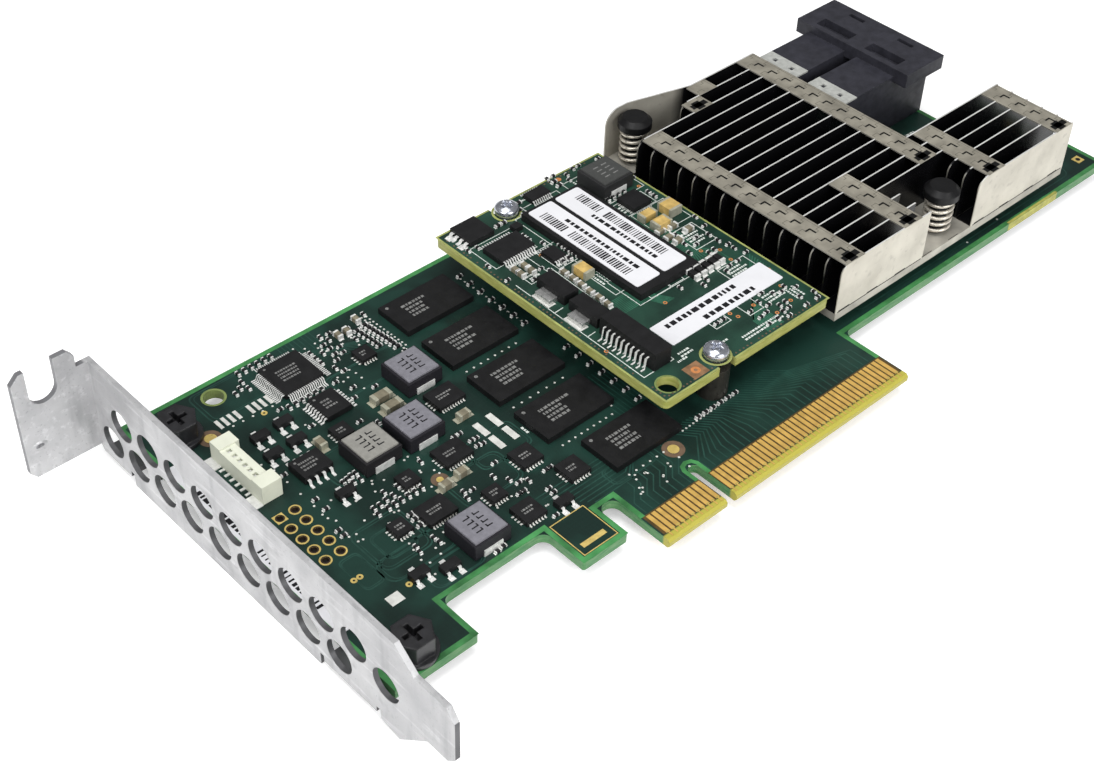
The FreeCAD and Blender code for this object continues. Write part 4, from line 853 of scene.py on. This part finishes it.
def board_chip_parts():
    """Chip resistors and capacitors on the main board: the solids' rows, placed ones and
    scattered ones."""
    z = BOARD_TOP
    rows = solids("chip_resistors").mean(1)[:, :2]
    near = rows[:, 0] < 40
    small = (1.0, 0.5, 0.45)
    groups = [
        ([(44.0, 63.5), (44.1, 62.6), (44.2, 61.7), (44.3, 60.8), (44.4, 59.9), (44.5, 59.0), (44.6, 58.1),
          (44.6, 57.2), (44.7, 56.2)], (1.25, 0.55, 0.5), 0),
        ([(42.3, 63.2), (42.4, 62.2), (42.5, 61.2), (42.6, 60.2), (42.7, 59.2), (42.7, 58.2)],
         (1.1, 0.5, 0.45), 0),
        ([(39.3, 64.0), (40.9, 63.9), (43.7, 65.2)], (1.6, 0.9, 0.9), 90),
        ([(36.6, 62.6), (36.3, 63.9), (38.0, 62.0), (41.5, 64.6), (38.6, 65.6), (37.6, 60.6)],
         (0.9, 0.5, 0.4), 0),
        ([(22.0, 63.4), (22.0, 65.2), (21.0, 64.2), (19.8, 63.6), (33.6, 63.6), (33.6, 62.2), (33.6, 60.8)],
         (1.0, 0.5, 0.4), 90),
        ([(20.4, 38.5), (21.2, 38.6), (22.0, 38.8), (22.8, 38.8), (21.5, 37.6), (22.6, 37.4)], small, 90),
        ([(20.4, 31.6), (21.5, 31.6), (20.2, 30.4), (21.4, 30.3), (25.6, 32.8), (24.4, 30.6)], small, 90),
        ([(28.0, 30.6), (28.8, 30.4), (27.9, 31.6), (23.5, 27.4), (23.4, 26.3), (24.2, 26.8), (23.2, 24.9)],
         (1.0, 0.55, 0.5), 0),
        ([(20.3, 25.2), (21.2, 25.1), (20.2, 22.2), (20.0, 21.2), (23.1, 21.9), (23.2, 20.8), (31.5, 24.6),
          (31.9, 25.8)], (0.95, 0.5, 0.45), 90),
        ([(39.6, 33.0), (40.4, 32.9), (39.6, 31.6), (40.4, 31.4), (38.2, 35.2), (39.2, 35.2)],
         (0.9, 0.55, 0.45), 0),
        ([(26.6, 16.0), (25.4, 15.4), (28.0, 14.2), (29.2, 14.4), (37.6, 20.4), (38.4, 20.4), (43.6, 21.4),
          (44.4, 21.4), (41.4, 18.4), (41.4, 17.4), (38.6, 13.9)], small, 0),
        ([(14.2, 30.4), (14.2, 31.6), (15.4, 36.0), (15.4, 38.4), (13.6, 45.0), (15.0, 45.2)], small, 0),
        ([(150.0, 38.6), (151.4, 38.6), (152.8, 38.6), (148.0, 36.0), (146.6, 36.0), (160.2, 30.6),
          (160.2, 32.0), (162.0, 30.4)], small, 90),
    ]
    groups = [(clear_of(spots, rows, 1.05), size, turn) for spots, size, turn in groups]
    taken = np.concatenate([grown(solids(node)[:, :, :2], 0.9) for node in BIG_PARTS]
                           + [grown(spots, 0.5) for spots in [g[0] for g in groups] + [rows]])
    areas = (((22.0, 20.0), (47.5, 66.0), 420), ((48.5, 14.5), (60.0, 23.0), 40),
             ((140.0, 33.0), (160.0, 41.0), 60))
    fill(groups, areas, taken, (0.95, 0.5, 0.45), 1.3)
    bodies, ends = zip(*[passives(spots, size, z, turn) for spots, size, turn in groups])
    dark, tips = zip(*[passives(spots, (1.05, 0.5, 0.5), z, turn)
                       for spots, turn in ((rows[near], 90), (rows[~near], 0))])
    piece = pour("chip_resistor_rows", join(*dark), RESISTOR)
    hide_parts("chip_resistors")
    pour("chip_resistor_ends", join(*tips), TIN)
    low, high = np.moveaxis(solids("solder_pads"), 1, 0)
    sizes = high - low
    sizes[:, 2] = 0.05
    piece = pour("tinned_pads", blocks((low + high)[:, :2] / 2, sizes, z, 0.02), SOLDER)
    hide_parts("solder_pads")
    pour("small_chip_parts", join(*bodies[:2], *bodies[3:]), RESISTOR)
    pour("small_tan_parts", bodies[2], CERAMIC_BROWN)
    pour("small_part_ends", join(*ends), TIN)


def board_leads():
    """Bent leads, feet and edge pads of the main board's chips, and the capacitors' ends."""
    z = BOARD_TOP
    pour("capacitor_ends", cap_ends("board_capacitors", 0.2, 0.4, z, pads=True), TIN_WARM)
    chips = []
    for node, sides, count, pitch, out, drop, wide in (
            ("quad_flat_chip", ("+x", "-x", "+y", "-y"), 18, 0.365, 1.6, 0.7, 0.17),
            ("two_row_chip", ("+x", "-x"), 8, 0.6, 1.15, 0.55, 0.3),
            ("eight_lead_chip", ("+y", "-y"), 4, 1.27, 1.25, 0.7, 0.45)):
        chips += [lead_row(*box(node), side, count, pitch, out, drop, wide, z) for side in sides]
    leads = pour("bent_leads", join(*chips), TIN)
    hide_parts("quad_flat_leads", "two_row_leads", "eight_lead_chip_leads")

    pads = []
    for node, (count, pitch) in FLAT_CHIPS.items():
        for low, high, mid in bodies_of(node):
            x = mid[0] + steps(count, pitch)
            for side in (-1, 1):
                y = mid[1] + side * (high[1] - low[1] + 0.3) / 2
                pads.append(patches(pairs(x, y), (pitch * 0.5, 0.5), z + PAD_UP))
            pads.append(patches(pairs(low[0] - 0.15, mid[1] + steps(4, 0.6)), (0.5, 0.3), z + PAD_UP))
            pads.append(blocks(pairs(x, low[1] - 0.02), (pitch * 0.45, 0.06, 0.3), z, 0.01))
    pour("chip_edge_pads", join(*pads), SOLDER)

    feet = []
    for low, high, mid in bodies_of("small_transistors"):
        x, pitch, out = mid[0], 1.9, 0.8
        feet += [lead_row(low, high, side, count, pitch, out, 0.4, 0.5, z)
                 for side, count in (("-y", 2), ("+y", 1))]
        spots = [(x - pitch / 2, low[1] - out), (x + pitch / 2, low[1] - out), (x, high[1] + out)]
        feet.append(patches(spots, (0.9, 0.9), z + PAD_UP))
    leads = pour("transistor_feet", join(*feet), TIN)
    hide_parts("small_transistor_leads")


def board_marks():
    """Plain marks on the chips, inductors, label and board."""
    marks = []
    for node in MEMORY_CHIPS:
        low, high = box(node)
        (x, y, _), top = (low + high) / 2, high[2] + RIM_UP
        marks += [print_rows((x - 0.8, y + 1.5), 6.4, 1, 0.5, 1, top),
                  print_rows((x - 1.4, y - 0.3), 4.8, 3, 0.5, 0.9, top),
                  dots((low[0] + 1.0, high[1] - 1.0), 0.3, top, 14)]
    for node, long, rows in (("two_row_chip", 2.6, 3), ("eight_lead_chip", 3.6, 3),
                             ("quad_flat_chip", 4.4, 4)):
        low, high = box(node)
        marks += [print_rows((low + high) / 2, long, rows, 0.36, 0.72, high[2] + RIM_UP),
                  dots((low[0] + 0.7, high[1] - 0.7), 0.22, high[2] + RIM_UP, 12)]
    for low, high, mid in bodies_of(*FLAT_CHIPS):
        marks.append(print_rows(mid, (high[0] - low[0]) * 0.6, 2, 0.32, 0.62, high[2] + RIM_UP))
    pour("chip_marks", join(*marks), MARK)

    inked = []
    for name in "abcd":
        low, high = box("coil_%s_body" % name)
        mid, top = (low + high) / 2, high[2] + RIM_UP
        for x, tall, way in ((-0.85, 1.25, 1), (0.95, 1.05, -1)):
            spots = pairs(mid[0] + x, mid[1] + steps(4, 0.95))
            inked.append(patches(spots, (tall, 0.22), top))
            inked.append(patches(spots + [(tall / 2 - 0.12) * way, 0.22], (0.22, 0.5), top))
    pour("coil_marks", join(*inked), INK_AND_HOLE_SHADE)
    silk = [print_rows(centre, long, 1, tall, 1, BOARD_TOP + PRINT_UP, turn) for centre, long, tall, turn in (
        ((30.5, 19.0), 3.0, 0.4, 0), ((47.0, 29.8), 2.2, 0.4, 90), ((150.0, 41.0), 6.0, 0.5, 0),
        ((161.5, 16.6), 2.6, 0.4, 0))]
    pour("board_print", join(*silk), SILK)
    low, high = box("board_label")
    (x, y, _), top = (low + high) / 2, high[2] + 0.01
    pour("board_label_bars", join(bar_code((x - 0.4, y - 8), 14, 1.9, 16, top, 90),
                                  print_rows((x + 0.8, y), 30, 1, 0.7, 1, top, 90),
                                  print_rows((x - 0.8, y + 9), 14, 1, 0.8, 1, top, 90)), INK_AND_HOLE_SHADE)


# ---------------------------------------------------------------- the module
def module_art():
    """The module board: rims either side of its posts, stitches, rings, tracks and print."""
    z, low, high = DECK_TOP, DECK_LOW, DECK_HIGH
    posts = solids("module_screws").mean(1)[:, :2]
    post_x, r = posts[0, 0], 1.75
    rims = ([(post_x + r, low[1]), (high[0], low[1]), (high[0], high[1]), (post_x + r, high[1])],
            [(post_x - r, high[1]), (low[0], high[1]), (low[0], low[1]), (post_x - r, low[1])])
    pour("module_border", join(*[ribbon(rim, 0.34, z + RIM_UP, inside=True) for rim in rims]),
         DECK_BORDER)
    stitch = np.concatenate([row((low[0] + 0.85, low[1] + 1.2), (low[0] + 0.85, high[1] - 1.2), 62),
                             row((low[0] + 1.4, low[1] + 0.8), (post_x - 2.6, low[1] + 0.8), 13),
                             row((post_x + 2.6, low[1] + 0.8), (high[0] - 1.2, low[1] + 0.8), 24),
                             row((post_x + 4.4, high[1] - 0.8), (high[0] - 1.2, high[1] - 0.8), 20)])
    stitch = stitch[rng.random(len(stitch)) > 0.25]
    pour("edge_stitches", dots(stitch, 0.17, z + RING_UP, 8), RING)
    pour("post_rings", rings(pairs(post_x, posts[:, 1]), 2.5, 2.1, z + RING_UP, 30),
         DECK_BORDER)
    pour("module_hole_ring", rings(MODULE_HOLE, 2.0, 1.7, z + RING_UP, 28), PALE_RING)

    tracks = []
    for d in 0.6 * np.arange(12):
        x = 84.0 + d / 2
        for path, wide in (
                ([(x, 15.8), (x, 19.0 + d / 2), (x + 5, 24.0 + d / 2), (95.8, 24.0 + d)], 0.2),
                ([(70.5, 33.2 + d / 2), (75.5, 33.2 + d / 2), (76.6 + d / 3, 30.9),
                  (76.6 + d / 3, 31.0)], 0.16),
                ([(86.0 + d, 31.2), (86.0 + d, 34.5), (x + 4, 36.5), (x + 4, 50.0)], 0.16)):
            tracks.append(ribbon(path, wide, z + TRACK_UP))
    pour("module_tracks", join(*tracks), DECK_TRACK)
    copper = [(90.5, 36.2), (90.4, 34.3), (90.9, 32.4), (92.5, 31.6), (93.0, 34.4), (82.6, 22.6),
              (83.0, 21.3), (86.9, 24.2), (86.8, 21.6), (90.5, 24.3), (66.2, 23.2), (62.3, 28.7),
              (69.0, 46.6), (70.6, 52.0), (77.0, 30.9), (93.5, 22.0), (92.0, 18.6), (88.2, 18.0),
              (95.2, 26.0), (85.2, 26.8), (95.4, 55.0), (94.6, 59.0), (86.2, 52.0), (71.4, 50.4)]
    pour("copper_rings", rings(copper, 0.36, 0.15, z + PRINT_UP, 12), COPPER)
    pour("copper_square", patches(COPPER_SQUARE, (3.1, 2.9), z + 0.015), PATCH)
    pour("copper_square_ring", join(rings(COPPER_SQUARE, 0.75, 0.3, z + 0.022, 18),
                                    dots((86.6, 65.1), 0.5, z + PRINT_UP, 12)), COPPER)

    flash_low, flash_high = box("module_flash_package")
    frames = (
        ((76.2, 33.0), (80.6, 36.9)), ((80.4, 33.1), (83.4, 35.4)), ((85.0, 36.0), (88.0, 40.4)),
        ((90.2, 36.8), (94.8, 42.4)), ((78.4, 21.4), (81.6, 24.0)), ((72.6, 37.2), (75.4, 46.2)),
        ((70.4, 47.6), (75.6, 53.2)), ((76.6, 60.0), (84.2, 63.0)), ((88.6, 43.6), (96.0, 50.0)),
        ((88.2, 50.2), (94.6, 53.8)), ((84.6, 20.2), (87.6, 23.4)), ((88.8, 26.4), (94.6, 31.0)),
        ((64.6, 47.6), (68.6, 53.2)), ((63.0, 54.0), (71.6, 60.4)), ((86.0, 54.6), (96.2, 63.6)),
        (flash_low[:2] - 0.7, flash_high[:2] + 0.7))
    art = [ribbon(rectangle(*corners), 0.13, z + PRINT_UP, closed=True) for corners in frames]
    art += [ribbon(path, wide, z + PRINT_UP) for path, wide in (
        ([(62.6, 49.0), (62.4, 20.9), (68.6, 20.9), (68.6, 22.4)], 0.15),
        ([(62.6, 40.2), (64.4, 40.3)], 0.15), ([(62.5, 32.9), (64.2, 33.0)], 0.15),
        ([(69.6, 48.6), (69.2, 34.2), (70.2, 33.4)], 0.15), ([(82.4, 54.0), (82.4, 57.0)], 0.5))]
    art += [print_rows(centre, long, rows, 0.36, 0.7, z + PRINT_UP, turn) for centre, long, rows, turn in (
        ((78.4, 35.0), 3.4, 4, 0), ((81.9, 34.3), 2.2, 2, 0), ((86.5, 38.3), 2.2, 4, 0),
        ((92.5, 39.6), 3.6, 5, 0), ((71.5, 20.9), 3.6, 2, 0), ((70.0, 20.0), 3.2, 1, 0),
        ((84.2, 17.2), 9.0, 2, 0), ((94.0, 20.0), 4.0, 3, 90), ((73.8, 42.0), 4.0, 3, 90),
        ((72.2, 50.2), 4.4, 4, 90), ((91.0, 21.2), 4.2, 3, 0), ((80.0, 64.6), 4.4, 1, 0),
        ((90.6, 52.0), 4.8, 3, 0), ((66.6, 49.4), 3.0, 3, 0), ((76.0, 18.8), 4.6, 1, 0),
        ((66.0, 52.8), 3.0, 1, 0), ((91.6, 28.8), 4.4, 4, 0), ((88.6, 62.6), 2.0, 3, 90))]
    pour("module_print", join(*art), SILK)


def module_chip_parts():
    """Chip resistors and capacitors on the module: placed ones and scattered ones."""
    z = DECK_TOP
    black = [(84.9, 32.6), (86.4, 32.6), (87.9, 32.7), (89.4, 32.7), (90.7, 32.8)]
    flat, short = (1.1, 0.6, 0.5), (1.0, 0.5, 0.45)
    groups = [
        ([(70.2, 46.2), (70.2, 44.2), (70.1, 42.2), (70.0, 40.2), (70.0, 38.2), (69.9, 36.2)],
         (1.5, 0.9, 0.7), 90),
        ([(64.8, 51.6), (66.6, 51.4), (64.8, 50.2), (66.6, 49.8)], (1.6, 0.9, 0.8), 90),
        ([(73.2, 51.6), (74.4, 51.6), (73.2, 50.0), (74.4, 50.0), (73.4, 48.4), (74.6, 48.4),
          (72.0, 48.4)], flat, 90),
        ([(76.0, 64.4), (77.0, 64.4), (85.4, 64.9), (85.4, 63.6), (75.8, 61.6), (75.8, 62.9), (71.6, 62.0),
          (70.4, 62.0)], flat, 0),
        ([(88.9, 43.7), (88.8, 41.7), (89.4, 40.2), (91.4, 43.4), (92.8, 41.2)], (1.8, 1.0, 0.8), 0),
        ([(91.0, 34.9), (92.2, 34.9), (88.6, 36.9), (87.4, 33.6), (94.4, 36.2), (94.4, 38.2), (83.2, 37.4),
          (84.4, 39.0)], short, 90),
        ([(88.6, 55.4), (89.8, 55.4), (91.0, 55.4), (92.2, 55.4), (95.2, 52.6), (95.2, 51.2), (87.4, 48.4),
          (87.4, 47.0)], (1.0, 0.55, 0.5), 90),
        ([(85.4, 18.8), (86.8, 19.0), (88.4, 20.0), (89.6, 22.6), (79.2, 22.2), (80.6, 22.2)], short, 0),
        ([(65.6, 54.6), (66.8, 54.5), (68.0, 54.5), (69.2, 54.5), (64.2, 59.8), (71.8, 57.4), (71.8, 56.2),
          (62.6, 60.2)], (0.9, 0.5, 0.45), 90),
    ]
    nodes = """module_chips module_flash_package module_long_label module_capacitors module_coil_body
        module_power_packages module_power_tabs module_side_socket module_screws""".split()
    taken = np.concatenate([grown(solids(node)[:, :, :2], 0.8) for node in nodes]
                           + [grown(spots, 0.6) for spots, _, _ in groups]
                           + [grown([(x, 32.7) for x, _ in black], 1.2), grown([MODULE_HOLE], 2.4)])
    areas = (((62.6, 46.5), (75.6, 66.6), 260), ((76.0, 57.0), (96.6, 66.6), 260),
             ((84.5, 16.0), (96.6, 31.5), 90), ((76.0, 32.0), (96.6, 46.0), 120))
    fill(groups, areas, taken, (0.9, 0.5, 0.4), 1.15)
    bodies, ends = zip(*[passives(spots, size, z, turn) for spots, size, turn in groups])
    pour("module_chip_parts", join(bodies[2], bodies[3], *bodies[5:]), RESISTOR)
    pour("module_tan_parts", join(bodies[0], bodies[1], bodies[4]), CERAMIC_BROWN)
    pour("module_part_ends", join(*ends), TIN)
    bodies, ends = passives(black, (2.4, 1.1, 0.9), z, 90)
    pour("black_chip_row", bodies, SMALL_CHIP)
    pour("black_chip_ends", ends, TIN)


def module_leads():
    """Leads and pads of the module's chips by their size, and the ends of its larger parts."""
    z = DECK_TOP
    leads, pads = [], []
    for low, high, mid in bodies_of("module_chips"):
        long, deep, _ = high - low
        both = None  # leads on both long sides: count, pitch, reach, drop and width
        if long > 6:
            both = 13, 0.5, 1.3, 0.5, 0.24
        elif deep > 4.9:
            leads.append(lead_row(low, high, "-x", 4, 1.15, 1.3, 0.4, 0.6, z))
            leads.append(patches(low[:2] + [(-0.9, 0.9), (-0.9, 3.9)], (1.4, 1.2), z + PAD_UP))
        elif deep < 2.5 and long > 3:
            both = 9, 0.45, 0.9, 0.4, 0.22
        elif long > 3.9:
            places = steps(8, 0.45)
            for side in (-2.2, 2.2):
                pads.append(patches(pairs(mid[0] + places, mid[1] + side), (0.24, 0.6), z + PRINT_UP))
                pads.append(patches(pairs(mid[0] + side, mid[1] + places), (0.6, 0.24), z + PRINT_UP))
        elif long > 2:
            both = 5, 0.5, 1.0, 0.4, 0.24
        if both:
            leads += [lead_row(low, high, side, *both, z) for side in ("-y", "+y")]
    socket = box("module_side_socket")
    leads.append(lead_row(*socket, "-x", 10, 1.0, 1.5, 2.0, 0.24, z))
    leads.append(lead_row(*socket, "-x", 9, 1.0, 0.7, 1.3, 0.2, z))
    bent = pour("module_bent_leads", join(*leads), TIN)
    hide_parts("module_socket_leads")
    pour("module_chip_pads", join(*pads), SOLDER)
    tabs = [patches((low[0] + 0.25, mid[1]), (1.7, high[1] - low[1] + 0.7), z + PRINT_UP)
            for low, high, mid in bodies_of("module_power_tabs")]
    pour("power_tab_pads", join(*tabs), SOLDER)
    pour("module_capacitor_ends", cap_ends("module_capacitors", 0.14, 0.44, z), TIN_WARM)
    low, high = box("module_coil_body")
    x, y, _ = (low + high) / 2
    spots = np.concatenate([pairs(x + side, y + steps(4, 0.95)) for side in (-0.9, 0.9)])
    pour("module_coil_marks", patches(spots, (1.1, 0.24), high[2] + RIM_UP), MARK)


def module_labels():
    """Paper labels with rounded corners, and the bars and dashes on them."""
    papers, inks, ink_up = [], [], 0.008
    for (low, high, (x, y, _)), shift in zip(bodies_of("module_bar_labels"), (-0.95, 0.95)):
        papers.append(slab_of(round_corners(rectangle(low[:2], high[:2]), 0.5, 5), low[2], high[2]))
        top = high[2] + ink_up
        inks += [bar_code((x + shift, y - 2.6), 13.4, 1.8, 27, top, 90),
                 bar_code((x + shift, y + 8.0), 5.4, 1.8, 11, top, 90),
                 print_rows((x - shift, y), 19.0, 1, 0.75, 1, top, 90)]
    low, high = box("module_long_label")
    (x, y, _), top = (low + high) / 2, high[2] + ink_up
    papers.append(slab_of(round_corners(rectangle(low[:2], high[:2]), 0.3, 4), low[2], high[2]))
    inks += [print_rows((x - 0.5, y + 1.1), 20.0, 1, 0.95, 1, top),
             print_rows((x + 1.5, y - 1.2), 12.0, 1, 0.95, 1, top)]
    paper = pour("module_label_papers", join(*papers), LABEL)
    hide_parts("module_bar_labels", "module_long_label")
    pour("module_label_bars", join(*inks), INK_AND_HOLE_SHADE)


# ---------------------------------------------------------------- heatsink, screws and bracket
def round_grid(shares, sides):
    """Shares of a radius down the rows of a grid, angles all round along them."""
    return np.meshgrid(shares, np.linspace(0, 2 * math.pi, sides, endpoint=False), indexing="ij")


def shell(rows, sides):
    """Quads over circles of corners laid one after another, outwards when they run down."""
    return repeated(hoop(sides)[:, [0, 3, 2, 1]], rows - 1, sides)


def pan_heads():
    """The module's screws, turned about their own axes: a domed head whose height is its top less
    0.9 (1 - (1 - s^2)^0.6) for s from 0 to 1 across it, cut by a cross of two arms, then a
    straight side and a shank."""
    sides, head, shank, dome, recess, foot = 72, 2.0, 1.1, 0.9, 0.8, DECK_TOP + PRINT_UP
    s, a = round_grid(np.linspace(0, 1, 24) ** 0.8, sides)
    x, y = head * s * np.cos(a), head * s * np.sin(a)
    near, far = np.minimum(abs(x), abs(y)), np.maximum(abs(x), abs(y))
    cut = np.clip((0.33 - near) / 0.1, 0, 1) * np.clip((1.1 - far) / 0.15, 0, 1)
    made = []
    for low, high, mid in bodies_of("module_screws"):
        z = high[2] - dome * (1 - (1 - s ** 2) ** 0.6) - recess * cut
        rest = np.array([(head, high[2] - 1.3), (head * 0.99, foot), (shank, foot), (shank, low[2]),
                         (0.001, low[2])])
        radius = np.concatenate([head * s, np.repeat(rest[:, :1], sides, 1)])
        level = np.concatenate([z, np.repeat(rest[:, 1:], sides, 1)])
        corners = np.stack([mid[0] + radius * np.cos(a[:1]), mid[1] + radius * np.sin(a[:1]), level], -1)
        made.append((corners.reshape(-1, 3), shell(len(radius), sides)))
    piece = pour("pan_head_screws", join(*made), CHROME, smooth=True)
    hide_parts("module_screws")


def sink_art():
    """The heatsink: strip tops with their folded seams, and painted shade in the notches, the open ends
    and the slots at the foot, with a painted shadow line along the foot.
    """
    low, high = box("heatsink_fins")
    z, pitch, wide = high[2] + RIM_UP, 3.14, 4.4
    # Each strip: its start along X, and its first and last sheet.
    strips = [(0.9, 0, 14), (30.6, 3, 16), (15.0, 0, 5), (36.6, 0, 5), (55.4, 0, 5), (13.5, 14, 15),
              (17.9, 15, 16)]
    seams, notch_shade, tops, ends = [], [], [], []
    for start, first, last in strips:
        s = low[0] + start
        y0, y1 = low[1] + first * pitch, low[1] + last * pitch
        tops.append(patches((s + wide / 2, (y0 + y1) / 2), (wide, y1 - y0), z))
        seams.append(patches((s + 4.0, (y0 + y1) / 2), (0.06, y1 - y0), z + 0.004))
        for i in range(first, last):
            x, y = s + 2.6, low[1] + i * pitch + 0.35
            # Painted shade in the gap of each L-shaped notch.
            if i > first:
                notch_shade.append(patches([(x - 0.48, y), (x, y - 0.62)], [(1.15, 0.34), (0.36, 1.4)],
                                       z + 0.006))
            for path in ([(x, y + 1.9), (x + 0.7, y + 1.9), (x + 0.7, y + 2.5), (s + wide, y + 2.5)],
                         [(x - 0.95, y), (x - 0.95, y + 0.7), (s + 0.5, y + 0.7), (s + 0.5, y + 0.1)]):
                seams.append(ribbon(path, 0.08, z + 0.004))
        # Painted shade in the open end of the strip.
        ends.append(patches([(s + 2.3, y0 + 1.3), (s + 2.1, y0 + 1.25)], [(3.5, 1.15), (1.7, 2.2)],
                            z + 0.008))
    pour("strip_tops", join(*tops), STRIP)
    pour("strip_seams", join(*seams), SEAM)
    pour("strip_notches", join(*notch_shade), GAP_SHADE)
    pour("open_strip_ends", join(*ends[:-1]), GAP_SHADE)
    # Painted shade in the slots at the foot, and a painted shadow line along it.
    foot = box("heatsink_base")[1][2]
    slots = patches(pairs(np.linspace(low[0] + 2, high[0] - 3, 9), foot + 0.28), (2.6, 0.16), 0)
    runs = np.array([(low[0], low[0] + 21.6), (low[0] + 34.4, high[0])])
    line = patches(pairs(runs.mean(1), foot + 0.1), pairs(np.diff(runs)[:, 0] - 0.8, 0.17), 0)
    pour("foot_slot_shade_and_shadow", join(on_front(slots, low[1] - 0.008), on_front(line, low[1] - 0.006)),
         GAP_SHADE)


def tab_dimple():
    """A shallow oval boss pressed out of the bracket's tab: out = high (1 - r^2) over an ellipse, with
    painted shade on its core.
    """
    sides, rows = 28, 9
    r, a = round_grid(np.linspace(0, 1, rows), sides)
    face = box("bracket")[1][1] - 0.86
    x, z = -9.4 + 1.35 * r * np.cos(a), 6.0 + 0.75 * r * np.sin(a)
    corners = np.stack([x, face - 0.28 * (1 - r ** 2), z], -1)
    pour("tab_dimple", (corners.reshape(-1, 3), shell(rows, sides)), ZINC, smooth=True)
    # Painted shade: a dark core in the middle of the boss.
    core = corners[:5] + [0, -0.02, 0.12]
    pour("dimple_core", (core.reshape(-1, 3), shell(5, sides)), DIMPLE_SHADE, smooth=True)


board_art()
tongue_art()
board_chip_parts()
board_leads()
board_marks()
module_art()
module_chip_parts()
module_leads()
module_labels()
sink_art()
pan_heads()
tab_dimple()
